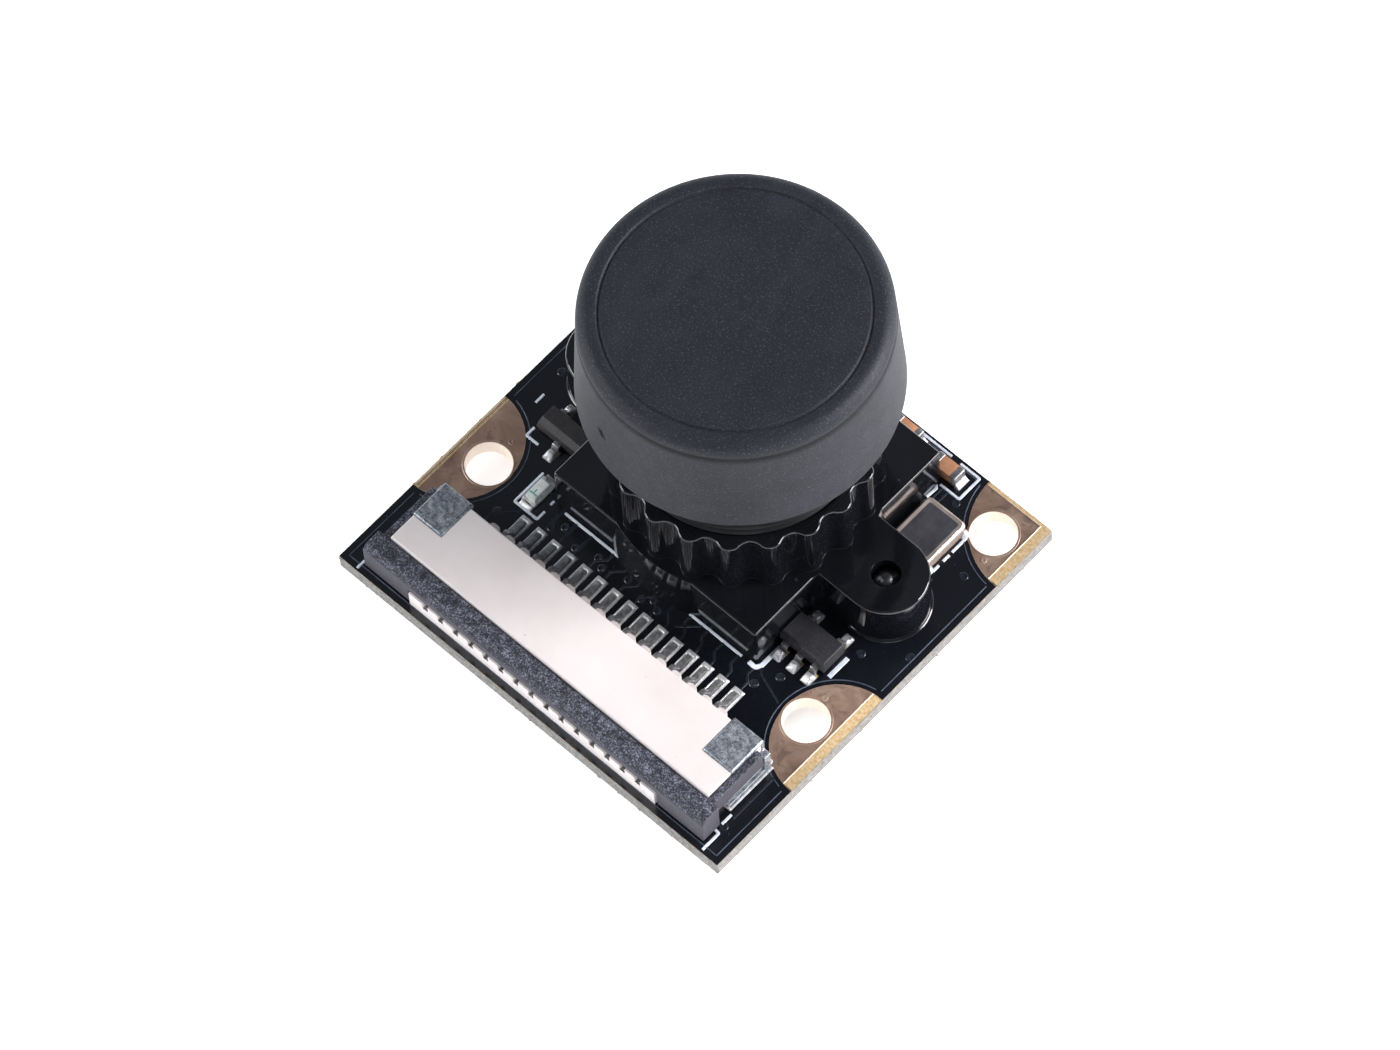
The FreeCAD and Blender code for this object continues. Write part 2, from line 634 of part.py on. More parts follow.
def holder_screw(side):
    """A cross-recess pan-head screw from the board's back into the holder's ear."""
    x = side * EAR_OFFSET
    tip = BOARD_THICKNESS + SCREW_TIP_HEIGHT
    shank = cylinder(x, AXIS_Y, SCREW_RADIUS, 0, tip)
    tip_place = FreeCAD.Vector(x, AXIS_Y, tip)
    point_cone = Part.makeCone(SCREW_RADIUS, SCREW_POINT_RADIUS, SCREW_POINT_LENGTH, tip_place, UP)
    head = cylinder(x, AXIS_Y, SCREW_HEAD_RADIUS, -SCREW_HEAD_HEIGHT, 0)
    head = head.makeFillet(SCREW_HEAD_ROUND, level_edges(head, -SCREW_HEAD_HEIGHT))
    cross = []
    for size_x, size_y in ((CROSS_LENGTH, CROSS_WIDTH), (CROSS_WIDTH, CROSS_LENGTH)):
        corner = FreeCAD.Vector(x - size_x / 2, AXIS_Y - size_y / 2, -SCREW_HEAD_HEIGHT)
        cross.append(Part.makeBox(size_x, size_y, CROSS_DEPTH, corner))
    return shank.fuse([point_cone, head]).cut(cross).removeSplitter()


def sensor_package():
    """The sensor's ceramic tray."""
    tray = centred_box(SENSOR_HALF, SENSOR_HALF, 0, SENSOR_HEIGHT)
    well = centred_box(SENSOR_WELL_HALF, SENSOR_WELL_HALF, SENSOR_WELL_FLOOR, SENSOR_HEIGHT)
    return tray.cut(well)


def convex_top(radius, edge_z, apex_z):
    """The turned outline's edge from the rim of a domed surface to its apex."""
    sag = apex_z - edge_z
    sphere = (radius**2 + sag**2) / (2 * sag)
    centre_z = apex_z - sphere
    half_angle = math.asin(radius / abs(sphere)) / 2
    middle = radial(abs(sphere) * math.sin(half_angle), centre_z + sphere * math.cos(half_angle))
    return arc(radial(radius, edge_z), middle, radial(0, apex_z))


def lens_element(bore_radius, size):
    """A glass element in a bore of the barrel: a flat-edged disc with a curved front and back."""
    rim = bore_radius - RUNNING_GAP
    bottom = size["bottom"]
    top = size["top"]
    front_radius, front_apex = size["front"]
    back_radius, back_apex = size["back"]
    upper = convex_top(front_radius, top, front_apex)
    lower = convex_top(back_radius, bottom, back_apex)
    edges = [
        line(radial(back_radius, bottom), radial(rim, bottom)),
        line(radial(rim, bottom), radial(rim, top)),
        line(radial(rim, top), radial(front_radius, top)),
        upper,
        line(radial(0, front_apex), radial(0, back_apex)),
        lower,
    ]
    return turned(edges)


def barrel_ring(bore_radius, size):
    """A ring that fits a bore of the barrel."""
    inner, bottom, top = size
    return turned_polygon(
        [
            (inner, bottom),
            (bore_radius - RUNNING_GAP, bottom),
            (bore_radius - RUNNING_GAP, top),
            (inner, top),
        ]
    )


def aperture_ring():
    """The stop: a spacer with a thin blade inside it."""
    spacer = barrel_ring(REAR_BORE_RADIUS, STOP_RING)
    return spacer.fuse(barrel_ring(REAR_BORE_RADIUS, STOP_BLADE)).removeSplitter()


def lens_barrel():
    """The metal barrel: threaded neck, wide head and stepped seats for the elements."""
    outer = THREAD_RADIUS - RUNNING_GAP
    return turned_polygon(
        [
            (REAR_BORE_RADIUS, BARREL_BOTTOM),
            (outer - BARREL_LEAD_CHAMFER, BARREL_BOTTOM),
            (outer, BARREL_BOTTOM + BARREL_LEAD_CHAMFER),
            (outer, BARREL_NECK_TOP),
            (HEAD_RADIUS, HEAD_BOTTOM),
            (HEAD_RADIUS, HEAD_TOP - HEAD_CHAMFER),
            (HEAD_RADIUS - HEAD_CHAMFER, HEAD_TOP),
            (FRONT_SEAT_RADIUS, HEAD_TOP),
            (FRONT_SEAT_RADIUS, FRONT_SEAT),
            (MIDDLE_SEAT_RADIUS, FRONT_SEAT),
            (MIDDLE_SEAT_RADIUS, MIDDLE_SEAT),
            (REAR_WINDOW_RADIUS, MIDDLE_SEAT),
            (REAR_WINDOW_RADIUS, REAR_SEAT),
            (REAR_BORE_RADIUS, REAR_SEAT),
        ]
    )


def lens_cap():
    """The push-on cap: a tapered cup with a rounded top edge, a fine groove and a stepped inside."""
    taper = (CAP_RIM_RADIUS - CAP_TOP_RADIUS) / (CAP_TOP - CAP_RIM)
    groove_inner = CAP_GROOVE_RADIUS - CAP_GROOVE_WIDTH / 2
    groove_outer = CAP_GROOVE_RADIUS + CAP_GROOVE_WIDTH / 2
    round_start_z = CAP_TOP - CAP_EDGE_ROUND
    round_start_r = CAP_TOP_RADIUS + taper * CAP_EDGE_ROUND
    centre_r = CAP_TOP_RADIUS - CAP_EDGE_ROUND
    diagonal = math.sqrt(0.5) * (round_start_r - centre_r)
    edges = [
        line(radial(CAP_BORE_RADIUS, CAP_RIM), radial(CAP_RIM_RADIUS, CAP_RIM)),
        line(radial(CAP_RIM_RADIUS, CAP_RIM), radial(round_start_r, round_start_z)),
        arc(
            radial(round_start_r, round_start_z),
            radial(centre_r + diagonal, round_start_z + math.sqrt(0.5) * CAP_EDGE_ROUND),
            radial(centre_r, CAP_TOP),
        ),
        line(radial(centre_r, CAP_TOP), radial(groove_outer, CAP_TOP)),
        line(radial(groove_outer, CAP_TOP), radial(CAP_GROOVE_RADIUS, CAP_TOP - CAP_GROOVE_DEPTH)),
        line(radial(CAP_GROOVE_RADIUS, CAP_TOP - CAP_GROOVE_DEPTH), radial(groove_inner, CAP_TOP)),
        line(radial(groove_inner, CAP_TOP), radial(0, CAP_TOP)),
        line(radial(0, CAP_TOP), radial(0, CAP_CEILING)),
        line(radial(0, CAP_CEILING), radial(CAP_INNER_RADIUS, CAP_CEILING)),
        line(radial(CAP_INNER_RADIUS, CAP_CEILING), radial(CAP_INNER_RADIUS, CAP_SHOULDER)),
        line(radial(CAP_INNER_RADIUS, CAP_SHOULDER), radial(CAP_BORE_RADIUS, CAP_SHOULDER)),
        line(radial(CAP_BORE_RADIUS, CAP_SHOULDER), radial(CAP_BORE_RADIUS, CAP_RIM)),
    ]
    return turned(edges)


def moulded_body(centre, width):
    """A small black package with drafted sides that are widest at the lead height."""
    x, y = centre
    levels = []
    sections = (
        (REGULATOR_LIFT, REGULATOR_BASE_DRAFT),
        (LEAD_EXIT, 0),
        (REGULATOR_HEIGHT, REGULATOR_TOP_DRAFT),
    )
    for z, inset in sections:
        half_x = REGULATOR_LENGTH / 2 - inset
        half_y = width / 2 - inset
        corners = [(-half_x, -half_y), (half_x, -half_y), (half_x, half_y), (-half_x, half_y)]
        points = [point(x + dx, y + dy, z) for dx, dy in corners]
        levels.append(Part.makePolygon(points + points[:1]))
    return Part.makeLoft(levels, True, True)


def gull_lead(x, y, way):
    """A bent lead from a package's side down to its pad."""
    knee = y + way * LEAD_KNEE
    toe = y + way * LEAD_REACH
    corners = [
        (y, LEAD_EXIT - LEAD_SHEET / 2),
        (y, LEAD_EXIT + LEAD_SHEET / 2),
        (knee, LEAD_EXIT + LEAD_SHEET / 2),
        (knee + way * LEAD_SHEET, PAD_HEIGHT + LEAD_SHEET),
        (toe, PAD_HEIGHT + LEAD_SHEET),
        (toe, PAD_HEIGHT),
        (knee, PAD_HEIGHT),
        (knee - way * LEAD_SHEET, LEAD_EXIT - LEAD_SHEET / 2),
    ]
    return profile_prism(corners, x - LEAD_WIDTH / 2, x + LEAD_WIDTH / 2)


def package_leads(places):
    return Part.makeCompound([gull_lead(x, y, way) for x, y, way in places])


def crystal_base():
    """The crystal's ceramic base."""
    x, y = CRYSTAL
    half_x = CRYSTAL_WIDTH / 2
    half_y = CRYSTAL_DEPTH / 2
    return board_box(x - half_x, x + half_x, y - half_y, y + half_y, PAD_HEIGHT, CRYSTAL_BASE_HEIGHT)


def crystal_lid():
    """The crystal's welded metal lid."""
    x, y = CRYSTAL
    half_x = CRYSTAL_WIDTH / 2 - CRYSTAL_LID_INSET
    half_y = CRYSTAL_DEPTH / 2 - CRYSTAL_LID_INSET
    top = CRYSTAL_BASE_HEIGHT + CRYSTAL_LID_HEIGHT
    return board_box(x - half_x, x + half_x, y - half_y, y + half_y, CRYSTAL_BASE_HEIGHT, top)


def capacitor_bodies():
    half = CHIP_LENGTH / 2 - CHIP_END
    bodies = []
    for x, y in CAPACITORS:
        bodies.append(
            board_box(x - half, x + half, y - CHIP_WIDTH / 2, y + CHIP_WIDTH / 2, PAD_HEIGHT, CHIP_HEIGHT)
        )
    return Part.makeCompound(bodies)


def capacitor_ends():
    ends = []
    for x, y in CAPACITORS:
        for side in SIDES:
            x0, x1 = sorted((x + side * (CHIP_LENGTH / 2 - CHIP_END), x + side * CHIP_LENGTH / 2))
            end = board_box(x0, x1, y - CHIP_WIDTH / 2, y + CHIP_WIDTH / 2, PAD_HEIGHT, CHIP_HEIGHT)
            face_x = x + side * CHIP_LENGTH / 2
            outer = [e for e in end.Edges if abs(e.CenterOfMass.x - face_x) < TOLERANCE]
            ends.append(end.makeFillet(CHIP_END_ROUND, outer))
    return Part.makeCompound(ends)


def led_body():
    """The LED's clear moulding, between its two plated ends."""
    x, y = LED
    half_x = CHIP_WIDTH / 2 - LED_DOME_INSET
    half_y = CHIP_LENGTH / 2 - LED_END
    return board_box(x - half_x, x + half_x, y - half_y, y + half_y, PAD_HEIGHT, LED_HEIGHT)


def led_ends():
    ends = []
    x, y = LED
    for side in SIDES:
        y0, y1 = sorted((y + side * (CHIP_LENGTH / 2 - LED_END), y + side * CHIP_LENGTH / 2))
        ends.append(board_box(x - CHIP_WIDTH / 2, x + CHIP_WIDTH / 2, y0, y1, PAD_HEIGHT, LED_END_HEIGHT))
    return Part.makeCompound(ends)


def all_nodes():
    """Every sub-part by name."""
    pads = solder_pads()
    return {
        "circuit_board": circuit_board(),
        "solder_mask_top": solder_mask(CORE_TOP, pads),
        "solder_mask_bottom": solder_mask(0, []),
        "plated_holes": plated_holes(),
        "solder_pads": Part.makeCompound(pads),
        "connector_housing": connector_housing(),
        "connector_slider": connector_slider(),
        "connector_contacts": connector_contacts(),
        "solder_nail_left": solder_nail(-1),
        "solder_nail_right": solder_nail(1),
        "lens_holder": lens_holder(),
        "holder_screws": Part.makeCompound([holder_screw(-1), holder_screw(1)]),
        "sensor_package": sensor_package(),
        "sensor_die": centred_box(DIE_HALF_X, DIE_HALF_Y, SENSOR_WELL_FLOOR, SENSOR_WELL_FLOOR + DIE_HEIGHT),
        "sensor_cover_glass": centred_box(
            COVER_GLASS_HALF, COVER_GLASS_HALF, SENSOR_HEIGHT, SENSOR_HEIGHT + COVER_GLASS_HEIGHT
        ),
        "infrared_filter": centred_box(FILTER_HALF, FILTER_HALF, SHELF_TOP, SHELF_TOP + FILTER_HEIGHT),
        "lens_barrel": lens_barrel(),
        "front_retaining_ring": barrel_ring(FRONT_SEAT_RADIUS, FRONT_RING),
        "front_element": lens_element(FRONT_SEAT_RADIUS, FRONT_ELEMENT),
        "spacer_ring": barrel_ring(MIDDLE_SEAT_RADIUS, SPACER_RING),
        "second_element": lens_element(MIDDLE_SEAT_RADIUS, SECOND_ELEMENT),
        "third_element": lens_element(REAR_BORE_RADIUS, THIRD_ELEMENT),
        "aperture_ring": aperture_ring(),
        "rear_element": lens_element(REAR_BORE_RADIUS, REAR_ELEMENT),
        "rear_retaining_ring": barrel_ring(REAR_BORE_RADIUS, REAR_RING),
        "lens_cap": lens_cap(),
        "regulator_left_body": moulded_body(REGULATOR_LEFT, REGULATOR_LEFT_WIDTH),
        "regulator_left_leads": package_leads(regulator_left_places()),
        "regulator_right_body": moulded_body(REGULATOR_RIGHT, REGULATOR_RIGHT_WIDTH),
        "regulator_right_leads": package_leads(regulator_right_places()),
        "crystal_base": crystal_base(),
        "crystal_lid": crystal_lid(),
        "capacitor_bodies": capacitor_bodies(),
        "capacitor_ends": capacitor_ends(),
        "status_led_body": led_body(),
        "status_led_ends": led_ends(),
    }


os.makedirs("parts", exist_ok=True)
for name, shape in all_nodes().items():
    shape.exportStep("parts/" + name + ".step")
    print(name, "solids", len(shape.Solids), "volume", round(shape.Volume, 3), "valid", shape.isValid())
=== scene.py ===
import math
import random

import bmesh
import bpy
from mathutils import Matrix, Quaternion, Vector


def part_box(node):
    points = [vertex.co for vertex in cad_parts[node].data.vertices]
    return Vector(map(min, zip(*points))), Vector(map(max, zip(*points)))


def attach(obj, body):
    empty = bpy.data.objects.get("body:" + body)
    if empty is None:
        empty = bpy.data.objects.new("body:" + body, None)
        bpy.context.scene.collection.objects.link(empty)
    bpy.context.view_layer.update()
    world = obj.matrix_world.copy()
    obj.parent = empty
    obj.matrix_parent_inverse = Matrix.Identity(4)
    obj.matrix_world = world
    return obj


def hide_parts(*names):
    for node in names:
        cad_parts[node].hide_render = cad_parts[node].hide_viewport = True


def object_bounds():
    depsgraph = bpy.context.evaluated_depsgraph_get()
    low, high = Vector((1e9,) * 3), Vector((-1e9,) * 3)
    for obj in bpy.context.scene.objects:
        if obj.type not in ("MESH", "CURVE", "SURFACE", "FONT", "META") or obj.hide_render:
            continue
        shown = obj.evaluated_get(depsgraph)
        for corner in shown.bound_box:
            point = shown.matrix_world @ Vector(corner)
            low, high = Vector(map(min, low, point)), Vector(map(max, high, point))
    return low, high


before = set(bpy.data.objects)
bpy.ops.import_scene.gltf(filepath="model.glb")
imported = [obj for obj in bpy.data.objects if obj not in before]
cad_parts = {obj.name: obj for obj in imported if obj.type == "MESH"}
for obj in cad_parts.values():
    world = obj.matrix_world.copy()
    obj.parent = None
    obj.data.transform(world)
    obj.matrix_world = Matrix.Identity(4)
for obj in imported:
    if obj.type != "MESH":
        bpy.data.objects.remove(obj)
CAD_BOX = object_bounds()

# Looks for a small camera board. Shapes are written in board millimetres: X across the board
# from its centre, Y from its front edge and Z from its top face. TO_FRAME turns them into the
# frame's metres. The main sizes are read from the boxes of the CAD nodes, and the finer ones are
# written here.
MM = 0.001
BOARD_LOW, BOARD_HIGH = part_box("solder_mask_top")
TO_FRAME = Matrix.Translation((0, BOARD_LOW.y, BOARD_HIGH.z)) @ Matrix.Scale(MM, 4)
TO_BOARD = TO_FRAME.inverted()
SIDES = (-1, 1)
SEED = 7

# Camera: the photographed viewing angle
CAMERA_AIM = (-0.88, -2.01, 0.0)
CAMERA_AZIMUTH = 46.98
CAMERA_ELEVATION = 62.65
CAMERA_ROLL = -4.81
CAMERA_DISTANCE = 460.06
CAMERA_LENS = 242.74


def size_of(node):
    """A CAD node's lowest and highest corner in board millimetres."""
    low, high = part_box(node)
    return TO_BOARD @ low, TO_BOARD @ high


BOARD_MIN, BOARD_MAX = size_of("circuit_board")
HALF_WIDTH = BOARD_MAX.x
DEPTH = BOARD_MAX.y
CAP_MIN, CAP_MAX = size_of("lens_cap")
AXIS = Vector(((CAP_MIN.x + CAP_MAX.x) / 2, (CAP_MIN.y + CAP_MAX.y) / 2, 0))


# ---------------------------------------------------------------- mesh building


def angles(count):
    return [2 * math.pi * index / count for index in range(count)]


def circle(x, y, radius, count):
    """Points of a circle in the board's plane."""
    return [(x + radius * math.cos(a), y + radius * math.sin(a)) for a in angles(count)]


def rectangle(x0, x1, y0, y1):
    return [(x0, y0), (x1, y0), (x1, y1), (x0, y1)]


def span(side, start, end):
    """Two distances from the board's middle line, in order, on one side of it."""
    return sorted((side * start, side * end))


def turned(profile, turn, x, y):
    """A (radius, height) profile stood up at one angle about an upright axis."""
    return [(x + r * math.cos(turn), y + r * math.sin(turn), z) for r, z in profile]


def link(name, data):
    """A new object in the scene."""
    made = bpy.data.objects.new(name, data)
    bpy.context.scene.collection.objects.link(made)
    return made


def rounded_rectangle(x0, x1, y0, y1, radius, steps=5):
    """The outline of a rectangle with round corners."""
    corners = ((x1, y1, 0), (x0, y1, 1), (x0, y0, 2), (x1, y0, 3))
    outline = []
    for x, y, quarter in corners:
        cx = x - radius * (1 if quarter in (0, 3) else -1)
        cy = y - radius * (1 if quarter in (0, 1) else -1)
        for step in range(steps + 1):
            a = (quarter + step / steps) * math.pi / 2
            outline.append((cx + radius * math.cos(a), cy + radius * math.sin(a)))
    return outline


def rounded_path(points, radius, steps=5):
    """A 2D path whose inner corners are arcs."""
    path = [Vector(points[0])]
    for before, corner, after in zip(points, points[1:], points[2:]):
        corner = Vector(corner)
        back = (Vector(before) - corner).normalized()
        ahead = (Vector(after) - corner).normalized()
        half = back.angle(ahead) / 2
        reach = radius / math.tan(half)
        start = corner + back * reach
        end = corner + ahead * reach
        centre = corner + (back + ahead).normalized() * (radius / math.sin(half))
        for step in range(steps + 1):
            share = step / steps
            direction = (start - centre).slerp(end - centre, share)
            path.append(centre + direction.normalized() * radius)
    path.append(Vector(points[-1]))
    return path


def side_normals(path):
    """The mitred left-hand normal at each point of a 2D path."""
    normals = []
    for index, here in enumerate(path):
        before = path[max(index - 1, 0)]
        after = path[min(index + 1, len(path) - 1)]
        first = (here - before).normalized() if index else (after - here).normalized()
        second = (after - here).normalized() if index < len(path) - 1 else first
        middle = (first + second).normalized()
        stretch = 1 / max(middle.dot(first), 0.5)
        normals.append(Vector((-middle.y, middle.x)) * stretch)
    return normals


def strip_outline(path, thickness):
    """The closed outline of a strip of that thickness on the left of a 2D path."""
    left = [p + n * thickness for p, n in zip(path, side_normals(path))]
    return list(path) + left[::-1]


MERGE_DISTANCE = 1e-4
FLAT_ANGLE = math.radians(0.5)


class Shape:
    """A mesh under construction, in board millimetres."""

    def __init__(self):
        self.bm = bmesh.new()

    def rows(self, rows, loop=False, ring=False, caps=False):
        """Quads between rows of points. A loop closes each row, a ring joins the last to the first."""
        made = [[self.bm.verts.new(p) for p in row] for row in rows]
        count = len(made[0])
        pairs = list(zip(made, made[1:])) + ([(made[-1], made[0])] if ring else [])
        for a, b in pairs:
            for i in range(count if loop else count - 1):
                j = (i + 1) % count
                self.bm.faces.new((a[i], a[j], b[j], b[i]))
        if caps:
            self.bm.faces.new(made[0][::-1])
            self.bm.faces.new(made[-1])
        return self

    def prism(self, outline, low, high):
        """A prism from a closed outline in the board's plane."""
        return self.rows([[(x, y, z) for x, y in outline] for z in (low, high)], loop=True, caps=True)

    def levels(self, outlines):
        """A closed loft through (outline, height) pairs with equal point counts."""
        return self.rows([[(x, y, z) for x, y in outline] for outline, z in outlines], loop=True, caps=True)

    def box(self, x0, x1, y0, y1, z0, z1):
        return self.prism(rectangle(x0, x1, y0, y1), z0, z1)

    def across(self, outline, x0, x1):
        """A prism along X from a closed outline of (y, z) points."""
        return self.rows([[(x, y, z) for y, z in outline] for x in (x0, x1)], loop=True, caps=True)

    def lathe(self, profile, count, x=AXIS.x, y=AXIS.y):
        """A closed (radius, height) profile turned in steps about an upright axis."""
        return self.rows([turned(profile, turn, x, y) for turn in angles(count)], loop=True, ring=True)

    def ribbon(self, path, width, low, high, crown=0.0):
        """A flat line of that width along a path in the board's plane, with bevelled edges."""
        points = [Vector(p) for p in path]
        normals = side_normals(points)
        half = width / 2
        soft = min(half * 0.4, 0.03)
        section = ((-half, low), (-half + soft, high), (0, high + crown), (half - soft, high), (half, low))
        rows = []
        for p, n in zip(points, normals):
            rows.append([(p.x + n.x * s, p.y + n.y * s, z) for s, z in section])
        return self.rows(rows, loop=True, caps=True)

    def add(self, other):
        mesh = bpy.data.meshes.new("joined")
        other.bm.to_mesh(mesh)
        other.bm.free()
        self.bm.from_mesh(mesh)
        bpy.data.meshes.remove(mesh)
        return self

    def clean(self):
        bmesh.ops.remove_doubles(self.bm, verts=self.bm.verts, dist=MERGE_DISTANCE)
        bmesh.ops.recalc_face_normals(self.bm, faces=self.bm.faces)
        return self

    def bevel(self, width, limit=35.0, segments=3):
        """Rounds every edge sharper than the limit."""
        bm = self.clean().bm
        bmesh.ops.dissolve_limit(bm, angle_limit=FLAT_ANGLE, verts=bm.verts, edges=bm.edges)
        sharp = [e for e in bm.edges if e.is_manifold and e.calc_face_angle(0) > math.radians(limit)]
        bmesh.ops.bevel(
            bm, geom=sharp, offset=width, segments=segments, profile=0.5, affect="EDGES",
            clamp_overlap=True,
        )
        return self.clean()

    def move(self, change):
        """Moves every point by the given function of its place."""
        for vert in self.bm.verts:
            vert.co = change(vert.co)
        return self

    def object(self, name):
        self.clean()
        mesh = bpy.data.meshes.new(name)
        self.bm.to_mesh(mesh)
        self.bm.free()
        return link(name, mesh)

    def boolean(self, tool, operation):
        """This shape joined with another, or cut by it."""
        held = self.object("held")
        other = tool.object("tool")
        modifier = held.modifiers.new("boolean", "BOOLEAN")
        modifier.operation = operation
        modifier.solver = "EXACT"
        modifier.object = other
        graph = bpy.context.evaluated_depsgraph_get()
        mesh = bpy.data.meshes.new_from_object(held.evaluated_get(graph))
        self.bm = bmesh.new()
        self.bm.from_mesh(mesh)
        for spent in (held, other):
            data = spent.data
            bpy.data.objects.remove(spent)
            bpy.data.meshes.remove(data)
        bpy.data.meshes.remove(mesh)
        return self

    def join(self, tool):
        return self.boolean(tool, "UNION")

    def cut(self, tool):
        return self.boolean(tool, "DIFFERENCE")


def piece(name, shape, body, material, replaces=()):
    """A finished piece: in the frame, shaded, riding its body and standing for its CAD nodes."""
    made = shape.object(name)
    made.data.transform(TO_FRAME)
    shade(made)
    made.data.materials.append(material)
    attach(made, body)
    if replaces:
        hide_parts(*replaces)


SMOOTH_ANGLE = math.radians(38)


def shade(made):
    """Smooth shading up to an angle, with flat faces kept flat beside their rounded edges."""
    for polygon in made.data.polygons:
        polygon.use_smooth = True
    made.data.set_sharp_from_angle(angle=SMOOTH_ANGLE)
    weighted = made.modifiers.new("weighted_normals", "WEIGHTED_NORMAL")
    weighted.keep_sharp = True


def dress(node, material):
    """Gives a CAD node that keeps its own mesh its material."""
    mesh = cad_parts[node].data
    mesh.materials.clear()
    mesh.materials.append(material)


# ---------------------------------------------------------------- materials


def rgb(code):
    """A linear colour from a hexadecimal sRGB one."""
    values = [int(code[i : i + 2], 16) / 255 for i in (1, 3, 5)]
    linear = [v / 12.92 if v <= 0.04045 else ((v + 0.055) / 1.055) ** 2.4 for v in values]
    return (*linear, 1.0)


class Finish:
    """A node material in millimetres: layers of noise for colour, roughness and relief."""

    def __init__(self, name, **principled):
        self.material = bpy.data.materials.new(name)
        self.material.use_nodes = True
        tree = self.material.node_tree
        self.nodes = tree.nodes
        self.links = tree.links
        self.shader = next(n for n in self.nodes if n.type == "BSDF_PRINCIPLED")
        for key, value in principled.items():
            self.shader.inputs[key.replace("_", " ")].default_value = value
        place = self.nodes.new("ShaderNodeTexCoord")
        scale = self.nodes.new("ShaderNodeMapping")
        scale.inputs["Scale"].default_value = (1 / MM,) * 3
        self.links.new(place.outputs["Object"], scale.inputs["Vector"])
        self.place = scale.outputs["Vector"]
        self.relief = None

    def node(self, kind, output=0, **inputs):
        """A node with its inputs set or linked; keys are input names with _ for spaces."""
        made = self.nodes.new("ShaderNode" + kind)
        for key, value in inputs.items():
            self.feed(made.inputs[key.replace("_", " ")], value)
        return made.outputs[output]

    def feed(self, socket, value):
        if isinstance(value, bpy.types.NodeSocket):
            self.links.new(value, socket)
        else:
            socket.default_value = value

    def stretched(self, x=1.0, y=1.0, z=1.0, turn=0.0):
        """The place in millimetres, stretched and turned about Z for directional patterns."""
        return self.node("Mapping", Vector=self.place, Scale=(x, y, z), Rotation=(0, 0, math.radians(turn)))

    def noise(self, scale, detail=3.0, roughness=0.55, distortion=0.0, place=None):
        look = {"Scale": scale, "Detail": detail, "Roughness": roughness, "Distortion": distortion}
        return self.node("TexNoise", Vector=place or self.place, **look)

    def wave(self, scale, turn):
        """Bands across the board, like one thread direction of the glass cloth."""
        place = self.stretched(turn=turn)
        return self.node("TexWave", "Color", Scale=scale, Distortion=0.6, Vector=place)

    def ramp(self, value, *stops):
        """A colour ramp of (position, colour or grey level) stops."""
        made = self.nodes.new("ShaderNodeValToRGB")
        self.links.new(value, made.inputs["Fac"])
        elements = made.color_ramp.elements
        while len(elements) < len(stops):
            elements.new(0.5)
        for element, (position, colour) in zip(elements, stops):
            element.position = position
            element.color = rgb(colour) if isinstance(colour, str) else (colour, colour, colour, 1.0)
        return made.outputs["Color"]

    def math(self, operation, a, b=0.0):
        made = self.nodes.new("ShaderNodeMath")
        made.operation = operation
        self.feed(made.inputs[0], a)
        self.feed(made.inputs[1], b)
        return made.outputs["Value"]

    def mix(self, share, a, b):
        """The second colour laid over the first by that share."""
        made = self.nodes.new("ShaderNodeMix")
        made.data_type = "RGBA"
        for index, value in ((0, share), (6, a), (7, b)):
            self.feed(made.inputs[index], rgb(value) if isinstance(value, str) else value)
        return made.outputs[2]

    def tones(self, dark, light, *noise):
        """Soft clouds between two close colours."""
        return self.ramp(self.noise(*noise), (0.3, dark), (0.7, light))

    def tint(self, base, colour, share, mask):
        """Another colour over the base, by a share of a mask."""
        return self.mix(self.math("MULTIPLY", mask, share), base, colour)

    def stain(self, base, colour, share, low, high, *noise):
        """Patches of another colour, where a noise rises past two levels."""
        return self.tint(base, colour, share, self.ramp(self.noise(*noise), (low, 0.0), (high, 1.0)))

    def edge_wear_and_highlight(self, base, colour, share, radius=0.05):
        """Another colour along the edges: rubbed wear on some finishes and a painted edge highlight on
        others.
        """
        return self.tint(base, colour, share, self.edges(radius))

    def colour(self, value):
        self.links.new(value, self.shader.inputs["Base Color"])
        self.base = value

    def rough(self, value, low, high):
        """Roughness that follows a grey value between two levels."""
        made = self.node("MapRange", "Result", Value=value, To_Min=low, To_Max=high)
        self.links.new(made, self.shader.inputs["Roughness"])

    def bump(self, value, depth, strength=1.0):
        """A relief of that depth in millimetres, on top of any earlier one."""
        earlier = {"Normal": self.relief} if self.relief else {}
        self.surface(self.node("Bump", Strength=strength, Distance=depth * MM, Height=value, **earlier))

    def soften(self, radius):
        """Makes sharp edges shade as if they were a little round."""
        self.surface(self.corner(radius))

    def surface(self, normal):
        self.relief = normal
        self.links.new(normal, self.shader.inputs["Normal"])

    def corner(self, radius):
        """The surface normal, rounded over every edge by that radius in millimetres."""
        made = self.nodes.new("ShaderNodeBevel")
        made.samples = 4
        made.inputs["Radius"].default_value = radius * MM
        return made.outputs["Normal"]

    def edges(self, radius):
        """A mask that is light along edges: where the rounded normal leaves the flat one."""
        dot = self.nodes.new("ShaderNodeVectorMath")
        dot.operation = "DOT_PRODUCT"
        self.links.new(self.corner(radius), dot.inputs[0])
        self.links.new(self.node("NewGeometry", "Normal"), dot.inputs[1])
        return self.ramp(self.math("SUBTRACT", 1.0, dot.outputs["Value"]), (0.01, 0.0), (0.12, 1.0))

    def facing_up(self):
        """1 on faces that look up or down and 0 on upright ones."""
        height = self.node("SeparateXYZ", "Z", Vector=self.node("NewGeometry", "Normal"))
        return self.ramp(self.math("ABSOLUTE", height), (0.55, 0.0), (0.75, 1.0))


